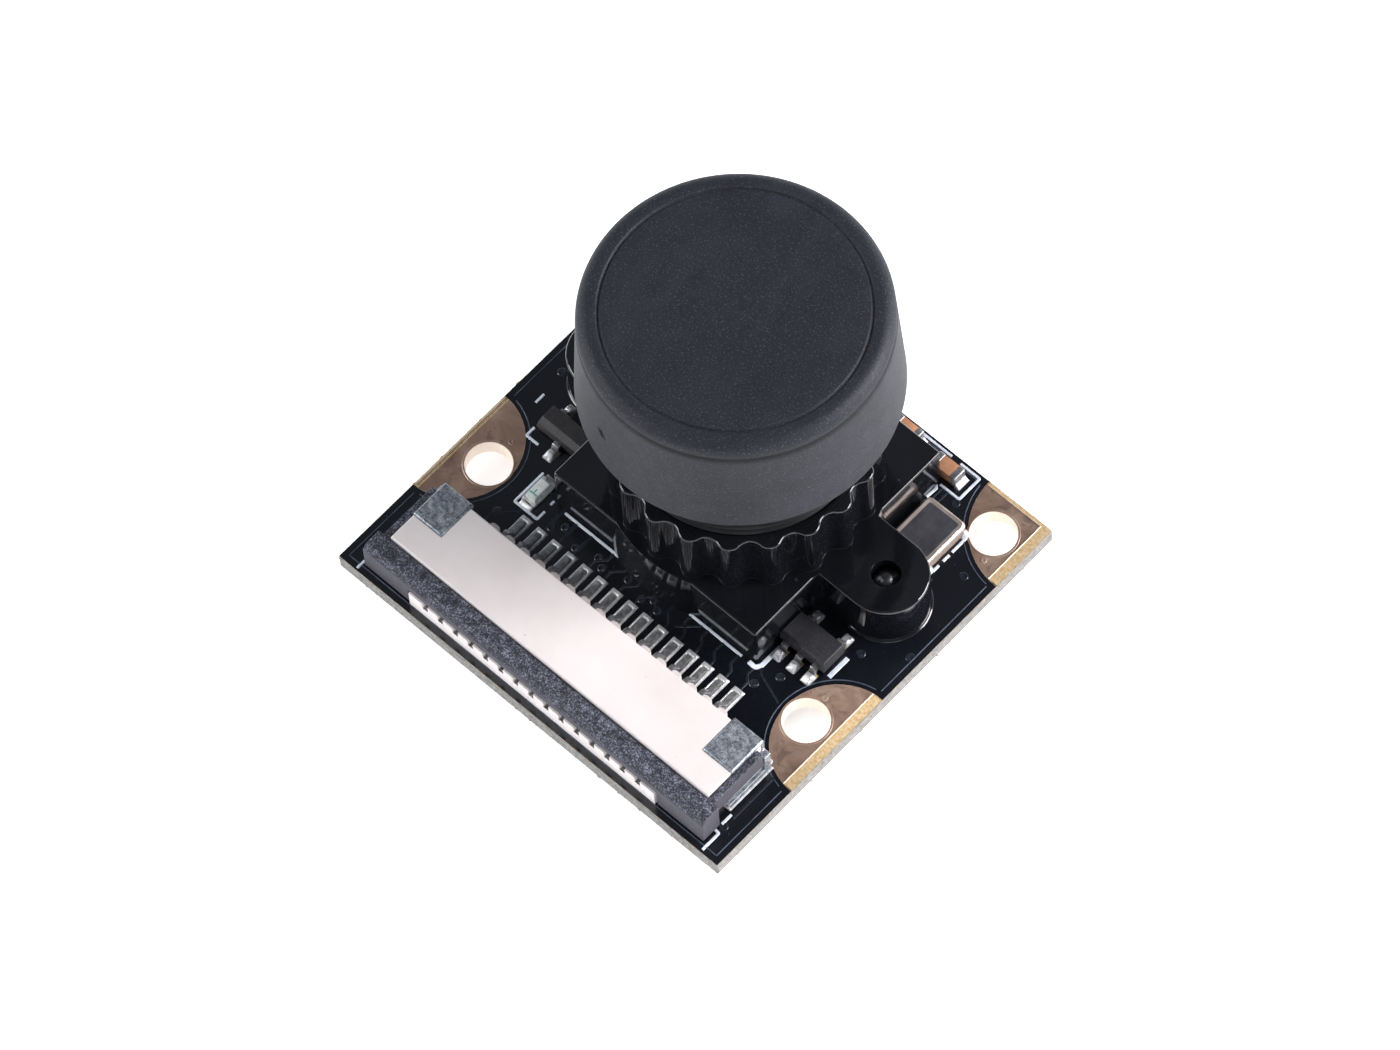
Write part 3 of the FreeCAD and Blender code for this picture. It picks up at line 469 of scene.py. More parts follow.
def moulded_black(name, dark, light, low, high, grain, depth, shine=0.5):
    """Black moulded plastic with a fine grain, pale dust specks and dark pits."""
    f = Finish(name, IOR=1.5, Specular_IOR_Level=shine)
    base = f.tones(dark, light, 0.35, 4)
    base = f.stain(base, light, 0.35, 0.35, 0.65, grain * 0.6, 2, 0.5)
    base = f.stain(base, "#77757e", 0.22, 0.6, 0.72, grain * 1.3, 1, 0.4)
    turned_place = f.stretched(1.03, 0.97, 1.01, 50)
    pits = f.ramp(f.noise(grain * 1.1, 1, 0.4, 0.0, turned_place), (0.3, 1.0), (0.4, 0.0))
    base = f.tint(base, "#0f1013", 0.5, pits)
    f.colour(f.edge_wear_and_highlight(base, "#6a6a72", 0.2))
    f.rough(f.noise(1.3, 5), low, high)
    f.bump(f.noise(grain, 3, 0.6), depth)
    return f


SHADE_BAND_DROP = 0.9


def cap_plastic():
    """Matt black cap, with painted shade: a dark band painted round it at the crease under the lip."""
    f = moulded_black("cap_plastic_matte_painted_crease_shade", "#171a20", "#1f2229", 0.5, 0.62, 9.0, 0.02, 0.3)
    along = f.stretched(1, 0.35, 1, 30)
    base = f.stain(f.base, "#363841", 0.2, 0.45, 0.72, 0.5, 3, 0.6, 0.8, along)
    # Painted shade: the colour is darkened in a band round the cap at the height of the crease under the
    # lip.
    crease = (TO_FRAME @ Vector((0, 0, CAP_MAX.z - SHADE_BAND_DROP))).z / MM
    height = f.node("SeparateXYZ", "Z", Vector=f.place)
    away = f.math("ABSOLUTE", f.math("SUBTRACT", height, crease))
    f.colour(f.tint(base, "#08090b", 0.8, f.ramp(away, (0.08, 1.0), (0.42, 0.0))))
    return f.material


def holder_plastic():
    f = Finish("holder_plastic_polished", IOR=1.52, Coat_Weight=0.5, Coat_Roughness=0.05)
    base = f.tones("#0b0c0f", "#101216", 0.4, 4)
    base = f.stain(base, "#6c6e78", 0.12, 0.72, 0.78, 2.6, 2, 0.5)
    # Painted highlight: the holder's edges are painted a paler grey.
    f.colour(f.edge_wear_and_highlight(base, "#565b66", 0.1, 0.04))
    f.rough(f.noise(1.2, 4, 0.6, 0.4, f.stretched(2.2, 2.2, 0.35)), 0.05, 0.16)
    f.soften(0.025)
    f.bump(f.noise(0.9, 2), 0.025, 0.5)
    f.bump(f.noise(5, 2), 0.001, 0.4)
    return f.material


def solder_mask():
    f = Finish("solder_mask_black", IOR=1.5, Coat_Weight=0.35, Coat_Roughness=0.12)
    base = f.tones("#07090e", "#0e1118", 0.25, 4)
    weave = f.math("MULTIPLY", f.wave(2.3, 0), f.wave(2.3, 90))
    base = f.tint(base, "#151922", 0.25, weave)
    f.colour(f.stain(base, "#59606e", 0.25, 0.72, 0.78, 3.4, 2, 0.5))
    f.rough(f.noise(0.8, 5), 0.14, 0.32)
    f.bump(weave, 0.004, 0.5)
    f.bump(f.noise(6.0, 3), 0.004, 0.6)
    return f.material


def covered_copper(name, tone, light_tone):
    """Solder mask where it runs over copper: a little paler and smoother than between. Given much paler
    tones, it paints the highlight on the copper's edge step.
    """
    f = Finish(name, IOR=1.5, Coat_Weight=0.35, Coat_Roughness=0.12)
    f.colour(f.tones(tone, light_tone, 1.5, 4))
    f.rough(f.noise(2.0, 4), 0.16, 0.34)
    f.bump(f.noise(7.0, 3), 0.003, 0.6)
    return f.material


def gold_plating():
    f = Finish("gold_plating_bronzed", Metallic=0.6)
    tone = f.noise(0.55, 4, 0.6, 0.6)
    base = f.ramp(tone, (0.3, "#957869"), (0.52, "#b79884"), (0.75, "#d3b9a2"))
    base = f.stain(base, "#6c5d5a", 0.45, 0.58, 0.66, 1.1, 3, 0.5, 1.2)
    # Painted highlight: the gold's edges are painted a pale gold.
    base = f.edge_wear_and_highlight(base, "#f0dcc4", 0.6, 0.04)
    # Painted reflection: upright faces, such as the hole walls and the steep sides of the land burrs, are
    # painted near-white.
    f.colour(f.mix(f.facing_up(), "#fff3e6", base))
    scratch = f.noise(3.0, 4, 0.7, 0.3, f.stretched(6, 0.5, 1, 35))
    f.rough(scratch, 0.3, 0.5)
    f.bump(f.noise(9, 3), 0.004, 0.7)
    f.bump(scratch, 0.002, 0.6)
    return f.material


def glass_fibre():
    """Bare board: yellow resin from above, pale sawn fibres on the edges."""
    scatter = (0.0006, 0.0005, 0.0003)
    f = Finish("board_core_fibre", IOR=1.5, Subsurface_Weight=0.08, Subsurface_Radius=scatter)
    along = f.noise(2.2, 4, 0.7, 0.0, f.stretched(1, 1, 9))
    tufts = f.noise(7.5, 4, 0.75)
    sawn = f.ramp(f.mix(0.5, along, tufts), (0.3, "#474642"), (0.47, "#767470"), (0.62, "#a5a39e"))
    resin = f.ramp(f.noise(6.0, 4), (0.35, "#c2a16c"), (0.62, "#dcc39a"))
    f.colour(f.mix(f.facing_up(), sawn, resin))
    f.rough(tufts, 0.5, 0.85)
    f.bump(tufts, 0.05, 0.8)
    return f.material


def silkscreen():
    f = Finish("silkscreen_ink", IOR=1.45)
    base = f.ramp(f.noise(1.6, 4), (0.3, "#c6d2e2"), (0.6, "#e8eef6"))
    f.colour(f.stain(base, "#66707f", 0.5, 0.66, 0.74, 8.5, 3, 0.7))
    f.rough(f.noise(5, 3), 0.45, 0.65)
    f.bump(f.noise(16, 2), 0.006, 0.7)
    return f.material


def bright_solder():
    f = Finish("solder_bright", Metallic=0.55)
    base = f.tones("#c4c5c6", "#efefee", 2.2, 4)
    f.colour(f.stain(base, "#8d8678", 0.35, 0.58, 0.68, 4.4, 3, 0.5, 0.8))
    f.rough(f.noise(7, 4), 0.28, 0.5)
    f.bump(f.noise(8, 3), 0.03, 0.7)
    return f.material


def tinned_sheet():
    """Hot-tinned steel, mottled from dark to pale grey: partly the tin's own set pattern and partly painted
    dark reflections.
    """
    f = Finish("tinned_sheet_mottle_and_reflections", Metallic=0.7)
    # Painted reflection as well as the tin's mottle: this noise spreads the colour from dark to pale grey.
    mottle_and_reflections = f.noise(1.9, 3, 0.6, 1.4)
    fine = f.noise(12.0, 3, 0.7, 0.3)
    tone = f.mix(0.5, mottle_and_reflections, fine)
    base = f.ramp(tone, (0.36, "#5d646c"), (0.48, "#8d949d"), (0.62, "#cfd3d8"))
    # Painted highlight: the sheet's edges are painted near-white.
    f.colour(f.edge_wear_and_highlight(base, "#eef0f1", 0.7, 0.1))
    f.rough(tone, 0.34, 0.55)
    f.bump(fine, 0.012, 0.7)
    return f.material


def contact_tin():
    f = Finish("contact_tin", Metallic=0.7)
    tone = f.noise(4.5, 4, 0.6, 0.4)
    base = f.ramp(tone, (0.3, "#6f7072"), (0.52, "#989899"), (0.72, "#c2c2c1"))
    # Painted highlight: the contacts' edges are painted pale grey.
    f.colour(f.edge_wear_and_highlight(base, "#dededd", 0.5, 0.03))
    f.rough(f.noise(2.0, 4, 0.6, 0.0, f.stretched(6, 0.6, 1)), 0.28, 0.46)
    f.bump(f.noise(11, 3), 0.006, 0.7)
    return f.material


def connector_plastic():
    scatter = (0.0005, 0.0004, 0.0003)
    f = Finish("connector_plastic_cream", IOR=1.5, Subsurface_Weight=0.15, Subsurface_Radius=scatter)
    base = f.tones("#dfd6d3", "#e8e1de", 0.3, 4)
    base = f.tint(base, "#cdbfb6", 0.1, f.noise(2.4, 4, 0.6, 0.0, f.stretched(0.25, 3, 3)))
    f.colour(f.stain(base, "#9d9189", 0.35, 0.74, 0.78, 2.1, 2, 0.5))
    f.rough(f.noise(3, 4), 0.42, 0.58)
    f.soften(0.06)
    f.bump(f.noise(12, 3), 0.004, 0.8)
    return f.material


def latch_plastic():
    """Glass-filled black nylon: a coarse speckle on top and a smoother, paler moulded front."""
    f = Finish("latch_plastic_speckled", IOR=1.5, Specular_IOR_Level=0.35)
    fine = f.noise(11.0, 3, 0.8)
    coarse = f.noise(2.4, 3, 0.6)
    tone = f.mix(0.25, fine, coarse)
    speckled = f.ramp(tone, (0.37, "#17171c"), (0.46, "#2d2d34"), (0.53, "#484a56"), (0.62, "#8b8e9d"))
    smooth = f.ramp(tone, (0.35, "#3c3a42"), (0.65, "#55535c"))
    f.colour(f.edge_wear_and_highlight(f.mix(f.facing_up(), smooth, speckled), "#77757f", 0.2))
    f.rough(fine, 0.5, 0.75)
    f.bump(fine, 0.045, 0.7)
    f.bump(coarse, 0.02, 0.5)
    return f.material


def package_plastic(name, dark, light):
    f = moulded_black(name, dark, light, 0.45, 0.62, 11.0, 0.008)
    f.colour(f.stain(f.base, "#434146", 0.2, 0.4, 0.7, 1.4, 3, 0.6, 1.0))
    return f.material


def barrel_metal():
    f = Finish("barrel_anodised", IOR=1.5, Specular_IOR_Level=0.25)
    rings = f.noise(1.4, 3, 0.6, 0.0, f.stretched(0.3, 0.3, 9))
    base = f.ramp(rings, (0.35, "#060708"), (0.65, "#0f1013"))
    f.colour(f.edge_wear_and_highlight(base, "#4b4d54", 0.2, 0.03))
    f.rough(rings, 0.4, 0.6)
    f.bump(f.noise(10, 3), 0.003, 0.7)
    return f.material


def brushed_metal(name, dark, light, low, high, turn=0.0, metallic=1.0):
    f = Finish(name, Metallic=metallic)
    hair = f.noise(3.0, 4, 0.7, 0.2, f.stretched(8, 0.5, 1, turn))
    base = f.ramp(f.mix(0.5, hair, f.noise(1.2, 3)), (0.32, dark), (0.68, light))
    # Painted highlight: the metal's edges are painted pale.
    f.colour(f.edge_wear_and_highlight(base, "#d9d5ce", 0.4, 0.03))
    f.rough(hair, low, high)
    f.bump(hair, 0.004, 0.7)
    f.bump(f.noise(8, 3), 0.005, 0.5)
    return f.material


def ceramic(name, dark, light, low=0.4, high=0.6):
    f = Finish(name, IOR=1.6)
    f.colour(f.ramp(f.mix(0.5, f.noise(2.0, 4), f.noise(14, 3)), (0.35, dark), (0.65, light)))
    f.rough(f.noise(6, 3), low, high)
    f.bump(f.noise(16, 3), 0.005, 0.8)
    return f.material


def clear_resin():
    """The LED's cast resin: milky, with a faint green cast in places."""
    scatter = (0.0004, 0.0005, 0.0004)
    f = Finish("led_resin_milky", IOR=1.5, Subsurface_Weight=0.4, Subsurface_Radius=scatter)
    base = f.ramp(f.noise(2.4, 3), (0.35, "#cfd6d2"), (0.65, "#eef1ee"))
    f.colour(f.stain(base, "#9dc4ae", 0.3, 0.55, 0.68, 1.9, 2, 0.5, 0.6))
    f.rough(f.noise(5, 3), 0.12, 0.3)
    f.bump(f.noise(6, 2), 0.01, 0.5)
    return f.material


def coated_glass(name, tint, transmission):
    """Glass with a faint coating colour and specks of dust."""
    f = Finish(name, IOR=1.52, Transmission_Weight=transmission)
    f.colour(f.tones(tint, "#e8eef2", 0.5, 3))
    f.rough(f.noise(5, 3, 0.6), 0.01, 0.06)
    f.bump(f.noise(2, 2), 0.001, 0.3)
    return f.material


def silicon():
    """The sensor's die: an iridescent pixel field under its glass."""
    f = Finish("sensor_silicon_die", Metallic=0.6)
    lines = f.math("ADD", f.wave(6, 0), f.wave(6, 90))
    base = f.ramp(f.noise(0.6, 3), (0.3, "#3a2f4d"), (0.5, "#2c4a55"), (0.7, "#5a3b4c"))
    f.colour(f.tint(base, "#8a93a3", 0.15, lines))
    f.rough(f.noise(3, 3), 0.12, 0.25)
    f.bump(lines, 0.002, 0.5)
    return f.material


FLOOR_GLOW = 0.62


def studio_floor():
    f = Finish("floor_paper", Emission_Color=(1, 1, 1, 1), Emission_Strength=FLOOR_GLOW)
    f.colour(f.tones("#f7f7f7", "#fafafa", 0.02, 3))
    f.rough(f.noise(1.0, 3), 0.8, 0.95)
    f.bump(f.noise(3, 3), 0.01, 0.2)
    return f.material


# ---------------------------------------------------------------- board


MASK_TOP = 0.0
PRINT_HEIGHT = 0.04
TRACE_HEIGHT = 0.026
PRINT_WIDTH = 0.165
TRACE_WIDTH = 0.14
SUNK = MASK_TOP - 0.01
BURIED = -0.03
EDGE_STEP = 0.11
EDGE_LEVELS = 7
EDGE_LIP = 0.06
EDGE_BAND = 0.13


def sawn_edge():
    """The rough fibre face that the saw leaves all round the board."""
    rng = random.Random(SEED)
    outer = rounded_rectangle(-HALF_WIDTH, HALF_WIDTH, 0, DEPTH, 0.12, 4)
    ring = []
    for (xa, ya), (xb, yb) in zip(outer, outer[1:] + outer[:1]):
        steps = max(1, round(math.hypot(xb - xa, yb - ya) / EDGE_STEP))
        ring += [(xa + (xb - xa) * s / steps, ya + (yb - ya) * s / steps) for s in range(steps)]
    rows = []
    for level in range(EDGE_LEVELS):
        share = level / (EDGE_LEVELS - 1)
        z = BOARD_MIN.z + (BOARD_MAX.z - BOARD_MIN.z) * share
        tuft = 0.0 if level in (0, EDGE_LEVELS - 1) else 1.0
        row = []
        for x, y in ring:
            out = tuft * rng.uniform(0.0, 0.05) + (1 - tuft) * rng.uniform(0.0, 0.02)
            if rng.random() < 0.05:
                out += rng.uniform(0.02, 0.06)
            row.append((*pushed(x, y, out), z))
        rows.append(row)
    for z in (BOARD_MAX.z, BOARD_MIN.z):
        rows.append([(*pushed(x, y, -EDGE_LIP), z) for x, y in ring])
    return Shape().rows(rows, loop=True, ring=True)


def pushed(x, y, distance):
    """A point moved outwards across the board's edges that it lies on."""
    half = DEPTH / 2
    dx = math.copysign(1, x) * edge_share(abs(x), HALF_WIDTH)
    dy = math.copysign(1, y - half) * edge_share(abs(y - half), half)
    return x + distance * dx, y + distance * dy


def edge_share(distance, half):
    """1 at the board's edge and 0 inside it."""
    return 1.0 if half - distance < EDGE_BAND else 0.0


TRACK_SHIFTS = (0.0,) * 4 + (0.45,) * 4 + (-0.45,) * 3 + (-0.3,) * 4


def trace_paths():
    """Copper tracks under the mask: fan-out behind the contacts, and links between the parts."""
    paths = []
    for index, shift in enumerate(TRACK_SHIFTS):
        x = (index - CONTACT_COUNT // 2) * CONTACT_PITCH
        turn = 7.95 + 0.1 * (index % 3)
        paths.append([(x, 7.5), (x, turn), (x + shift, turn + abs(shift)), (x + shift, 9.4)])
    return paths + [
        [(2.3, 8.0), (3.3, 8.9), (3.3, 9.3)],
        [(5.9, 10.4), (7.2, 8.9), (8.9, 8.3)],
        [(7.3, 22.3), (7.3, 21.5)],
        [(6.95, 22.2), (6.95, 21.5)],
        [(9.9, 18.2), (9.9, 14.9), (8.6, 13.6)],
        [(-9.6, 13.4), (-9.6, 15.2), (-11.6, 17.2)],
        [(-7.6, 7.6), (-8.6, 6.6), (-8.6, 6.1)],
        [(11.4, 2.3), (11.4, 5.2)],
        [(2.2, 23.3), (0.4, 23.3), (-1.2, 22.4)],
    ]


RING_VIAS = (
    (-5.8, 8.0), (-5.3, 8.45), (-4.15, 7.95), (-2.95, 8.3), (-2.45, 8.0), (-1.05, 8.4),
    (0.15, 8.05), (0.65, 8.4), (1.15, 8.1), (8.0, 9.4), (7.27, 8.3), (11.35, 1.7),
    (8.0, 22.0), (10.95, 19.3), (11.95, 14.35), (10.05, 12.9), (-11.3, 14.6), (-8.4, 6.9),
    (-3.1, 23.2), (-11.4, 18.9),
)


def copper_relief():
    """Tracks and vias as they show through the mask."""
    shape = Shape()
    for path in trace_paths():
        shape.ribbon(path, TRACE_WIDTH, SUNK, MASK_TOP + TRACE_HEIGHT)
    for x, y in RING_VIAS:
        via(shape, x, y, 0.2, 0.022)
    return shape


COPPER_INSET = 0.36
OUTLINE_WIDTH = 0.07


def copper_outline():
    """The raised border of the buried copper: inside the board's edges and round each land."""
    shape = Shape()
    low, high = SUNK, MASK_TOP + TRACE_HEIGHT
    edge_x = HALF_WIDTH - COPPER_INSET
    reach = FRONT_LAND + LAND_GAP
    rear = DEPTH - REAR_LAND - LAND_GAP
    for side in SIDES:
        for y0, y1 in ((COPPER_INSET, HOLE_Y_FRONT - reach), (HOLE_Y_FRONT + reach, rear)):
            shape.ribbon([(side * edge_x, y0), (side * edge_x, y1)], OUTLINE_WIDTH, low, high)
    for y, reach in ((COPPER_INSET, edge_x), (DEPTH - COPPER_INSET, HALF_WIDTH - 4.4)):
        shape.ribbon([(-reach, y), (reach, y)], OUTLINE_WIDTH, low, high)
    for path in land_arcs(0.24):
        shape.ribbon(path, OUTLINE_WIDTH, low, high)
    return shape


def via(shape, x, y, radius, height):
    """A filled hole: a raised ring round a small dimple."""
    profile = [
        (radius * 1.25, SUNK),
        (radius * 1.1, MASK_TOP + height * 0.6),
        (radius * 0.92, MASK_TOP + height),
        (radius * 0.7, MASK_TOP + height * 0.7),
        (radius * 0.45, MASK_TOP + 0.002),
        (radius * 0.2, MASK_TOP + 0.001),
        (0.0, MASK_TOP + 0.001),
        (0.0, SUNK),
    ]
    shape.lathe(profile, 16, x, y)


HOLE_X = 10.5
HOLE_Y_REAR = DEPTH - 2.0
HOLE_Y_FRONT = HOLE_Y_REAR - 13.5
FRONT_LAND = 3.27
REAR_LAND = 4.07
LAND_GAP = 0.3


def land_arcs(gap):
    """Arcs on the mask just outside each gold land."""
    paths = []
    for side in SIDES:
        for centre_y, radius, start, end in (
            (HOLE_Y_FRONT, FRONT_LAND + gap, -80, 80),
            (DEPTH, REAR_LAND + gap, -84, -6),
        ):
            points = []
            for step in range(25):
                a = math.radians(start + (end - start) * step / 24)
                points.append((side * (HALF_WIDTH - radius * math.cos(a)), centre_y + radius * math.sin(a)))
            paths.append(points)
    return paths


MARGIN_SIDE = {-1: 0.12, 1: 0.56}
MARGIN_REAR = 0.22
MARGIN_TOP = 0.013
FRONT_MARGIN = (HOLE_Y_FRONT - 3.2, HOLE_Y_FRONT + 3.2)
REAR_REACH = 4.0
BURR_TOP = 0.03
CUT_INSET = 0.02


def bare_margins():
    """The bare board beyond the gold lands, along the side edges and the rear edge."""
    shape = Shape()
    y_end = DEPTH - CUT_INSET
    for side in SIDES:
        inner = HALF_WIDTH - MARGIN_SIDE[side]
        edge = span(side, inner, HALF_WIDTH - CUT_INSET)
        for y0, y1 in (FRONT_MARGIN, (DEPTH - REAR_REACH, y_end)):
            shape.add(Shape().box(*edge, y0, y1, BURIED, MARGIN_TOP))
        rear = span(side, HALF_WIDTH - REAR_REACH, inner)
        shape.add(Shape().box(*rear, DEPTH - MARGIN_REAR, y_end, BURIED, MARGIN_TOP))
    return shape


def land_beads():
    """The burr along the cut edge of each gold land, bright partly from the painted near-white on the
    gold's upright faces, and the burr round each hole.
    """
    shape = Shape()
    rear = DEPTH - MARGIN_REAR
    for side in SIDES:
        x = side * (HALF_WIDTH - MARGIN_SIDE[side])
        front = [(x, y) for y in FRONT_MARGIN]
        corner = [(x, DEPTH - REAR_REACH), (x, rear), (side * (HALF_WIDTH - REAR_REACH), rear)]
        for path in (front, corner):
            shape.ribbon(path, 0.1, BURIED, BURR_TOP, crown=0.02)
    hole_burr = [(1.2, -0.005), (1.205, 0.02), (1.24, 0.032), (1.29, 0.024), (1.32, 0.008), (1.3, -0.01)]
    for side in SIDES:
        for y in (HOLE_Y_FRONT, HOLE_Y_REAR):
            shape.lathe(hole_burr, 72, side * HOLE_X, y)
    for x, y in ((10.35, 10.0), (-10.5, 10.12), (11.1, 20.6)):
        via_on_land(shape, x, y)
    return shape


def via_on_land(shape, x, y):
    profile = [(0.16, 0.0), (0.15, 0.03), (0.11, 0.038), (0.07, 0.02), (0.0, 0.012), (0.0, 0.0)]
    shape.lathe(profile, 16, x, y)


def printed_lines():
    """White print: component outlines and marks, as plain lines with no lettering."""
    front = AXIS.y - 6.85
    return [
        [(-8.15, 9.9), (-8.15, 7.85), (-6.65, 7.85), (-6.65, 8.4)],
        [(-6.7, 8.85), (-6.7, 9.12)],
        [(-5.85, front), (-2.2, front)],
        [(2.42, front), (5.84, front)],
        [(-10.2, 11.45), (-10.2, 10.88), (-9.4, 10.88)],
        [(-11.38, 0.1), (-11.38, 0.62)],
        [(11.18, 1.32), (11.42, 1.28), (11.42, 0.14)],
        [(11.2, 1.75), (11.2, 2.42)],
        [(9.65, 5.8), (10.72, 5.8), (10.8, 5.45)],
        [(6.75, 23.78), (7.98, 23.78), (7.98, 22.28), (6.75, 22.28)],
        [(2.55, 23.8), (3.25, 23.8)],
        [(3.75, 23.8), (6.15, 23.8)],
        [(6.05, 22.28), (6.5, 22.25), (6.5, 21.45)],
        [(6.71, 21.33), (6.75, 22.0), (6.55, 22.19), (6.28, 22.14)],
        [(9.66, 21.1), (9.66, 19.9)],
        [(9.66, 19.7), (9.66, 19.25)],
        [(9.66, 18.95), (9.66, 18.5)],
        [(-11.1, 13.1), (-11.1, 12.5)],
    ]


def broad_printed_lines():
    """The bolder marks: the corner outside the lens holder and the line beside the right package."""
    front = AXIS.y - 6.87
    return [
        [(6.3, front + 0.02), (6.72, front - 0.01), (6.9, front + 0.25), (6.9, front + 1.62)],
        [(9.74, 10.95), (9.74, 12.3)],
    ]


def silkscreen_lines():
    shape = Shape()
    broad = (broad_printed_lines(), 0.1, PRINT_WIDTH * 1.6)
    for paths, radius, width in (broad, (printed_lines(), 0.06, PRINT_WIDTH)):
        for path in paths:
            smooth = rounded_path(path, radius, 3) if len(path) > 2 else path
            shape.ribbon(smooth, width, SUNK, MASK_TOP + PRINT_HEIGHT)
    return shape


BACK_MASK = 0.03
BACK_TRACKS = 11
BACK_VIAS = 26


def back_relief():
    """Tracks and vias under the mask on the board's back."""
    shape = Shape()
    z = BOARD_MIN.z - BACK_MASK
    rng = random.Random(SEED + 1)
    for index in range(BACK_TRACKS):
        x = -6.2 + index * 0.62
        bend = 6.0 + 0.35 * index
        path = [(x, 2.2), (x, bend), (x + 1.6, bend + 1.6), (x + 1.6, 18.5 - 0.3 * index)]
        shape.ribbon(path, TRACE_WIDTH, z + 0.01, z - TRACE_HEIGHT)
    for _ in range(BACK_VIAS):
        x = rng.uniform(-10.5, 10.5)
        y = rng.uniform(1.5, 22.5)
        off_holes = all(math.hypot(abs(x) - HOLE_X, y - hole) > 3.6 for hole in (HOLE_Y_FRONT, HOLE_Y_REAR))
        if off_holes and math.hypot(abs(x) - EAR_OFFSET, y - AXIS.y) > 2.2:
            ring = circle(x, y, 0.2, 18)
            shape.ribbon(ring + ring[:1], 0.09, z + 0.01, z - 0.02)
    return shape


# ---------------------------------------------------------------- solder


PAD_CORNER = 0.22
WET_REACH = 0.085
DRY_REACH = 0.06
LUMP_SPREAD = 0.03


def solder_joint(shape, pad, foot, climb, seed, lip=0.07, cell=0.045, slope=0.11, lump=0.6):
    """Solder on a pad: steep at the pad's edge and drawn up against the part's foot."""
    x0, x1, y0, y1 = pad
    rng = random.Random(seed)
    lumps = [(rng.uniform(x0, x1), rng.uniform(y0, y1), rng.uniform(-0.02, 0.03)) for _ in range(5)]
    nx = max(6, round((x1 - x0) / cell))
    ny = max(6, round((y1 - y0) / cell))
    corner = min(x1 - x0, y1 - y0) * PAD_CORNER

    def height(x, y):
        dx = max(abs(x - (x0 + x1) / 2) - ((x1 - x0) / 2 - corner), 0)
        dy = max(abs(y - (y0 + y1) / 2) - ((y1 - y0) / 2 - corner), 0)
        inside = max(corner - math.hypot(dx, dy), 0) if dx or dy else corner
        inside = min(inside, x - x0, x1 - x, y - y0, y1 - y) if not (dx and dy) else inside
        rise = min(1.0, max(inside, 0) / slope)
        dome = math.sqrt(max(rise * (2 - rise), 0))
        away = math.hypot(max(foot[0] - x, x - foot[1], 0), max(foot[2] - y, y - foot[3], 0))
        dip = -0.7 * lip * math.exp(-((away / DRY_REACH) ** 2))
        wet = climb * math.exp(-away / WET_REACH) if climb > lip else dip
        bumps = sum(h * math.exp(-((x - lx) ** 2 + (y - ly) ** 2) / LUMP_SPREAD) for lx, ly, h in lumps)
        return dome * (lip + wet + bumps * lump) - 0.004

    xs = [x0 + (x1 - x0) * i / nx for i in range(nx + 1)]
    ys = [y0 + (y1 - y0) * j / ny for j in range(ny + 1)]
    rows = [[(x, y, height(x, y)) for x in xs] for y in ys]
    made = [[shape.bm.verts.new(p) for p in row] for row in rows]
    for a, b in zip(made, made[1:]):
        for i in range(nx):
            shape.bm.faces.new((a[i], a[i + 1], b[i + 1], b[i]))
    rim = made[0] + [row[-1] for row in made[1:]] + made[-1][-2::-1] + [row[0] for row in made[-2:0:-1]]
    base = [shape.bm.verts.new((v.co.x, v.co.y, BURIED)) for v in rim]
    for i, vert in enumerate(rim):
        j = (i + 1) % len(rim)
        shape.bm.faces.new((rim[j], vert, base[i], base[j]))
    shape.bm.faces.new(base)


CONTACTS_MIN, CONTACTS_MAX = size_of("connector_contacts")
CONTACT_WIDTH = 0.3
CONTACT_COUNT = 15
CONTACT_PITCH = (CONTACTS_MAX.x - CONTACTS_MIN.x - CONTACT_WIDTH) / (CONTACT_COUNT - 1)
CONTACT_SHEET = 0.15


def contact_centres():
    return [CONTACTS_MIN.x + CONTACT_WIDTH / 2 + CONTACT_PITCH * index for index in range(CONTACT_COUNT)]


PAD_HALF = 0.34
END_SOLDER = 0.27
END_OVERLAP = 0.1


def solder_joints():
    """Every solder joint on the board's top."""
    shape = Shape()
    for index, x in enumerate(contact_centres()):
        foot = (x - CONTACT_WIDTH / 2, x + CONTACT_WIDTH / 2, 6.3, CONTACTS_MAX.y)
        pad = (x - PAD_HALF, x + PAD_HALF, 6.05, 7.62)
        solder_joint(shape, pad, foot, 0.0, SEED + index, 0.12)
    for side in SIDES:
        foot = (*span(side, 10.5, 10.88), 2.65, 5.6)
        solder_joint(shape, (*span(side, 10.45, 11.05), 2.5, 5.62), foot, 0.0, SEED + 30 + side, 0.12)
    for number, (x, toe, way, reach) in enumerate(lead_feet()):
        pad = (x - 0.28, x + 0.28, *sorted((toe - way * 0.32, toe + way * 0.3)))
        foot = (x - 0.2, x + 0.2, *sorted((toe, toe - way * reach)))
        solder_joint(shape, pad, foot, 0.2, SEED + 40 + number, 0.13, 0.035, 0.24, 2.6)
    for number, (x, y, way) in enumerate(chip_ends()):
        y_span = (y - CHIP_HALF_Y, y + CHIP_HALF_Y)
        x0, x1 = sorted((x, x + way * END_SOLDER))
        foot = (*sorted((x, x - way * END_OVERLAP)), *y_span)
        solder_joint(shape, (x0 - 0.02, x1, *y_span), foot, 0.5, SEED + 60 + number, 0.05)
    low, high = size_of("status_led_ends")
    for way, y in ((-1, low.y), (1, high.y)):
        y0, y1 = sorted((y, y + way * END_SOLDER))
        foot = (low.x, high.x, *sorted((y, y - way * END_OVERLAP)))
        solder_joint(shape, (low.x, high.x, y0 - 0.02, y1), foot, 0.3, SEED + 80 + way, 0.05)
    return shape


# ---------------------------------------------------------------- connector


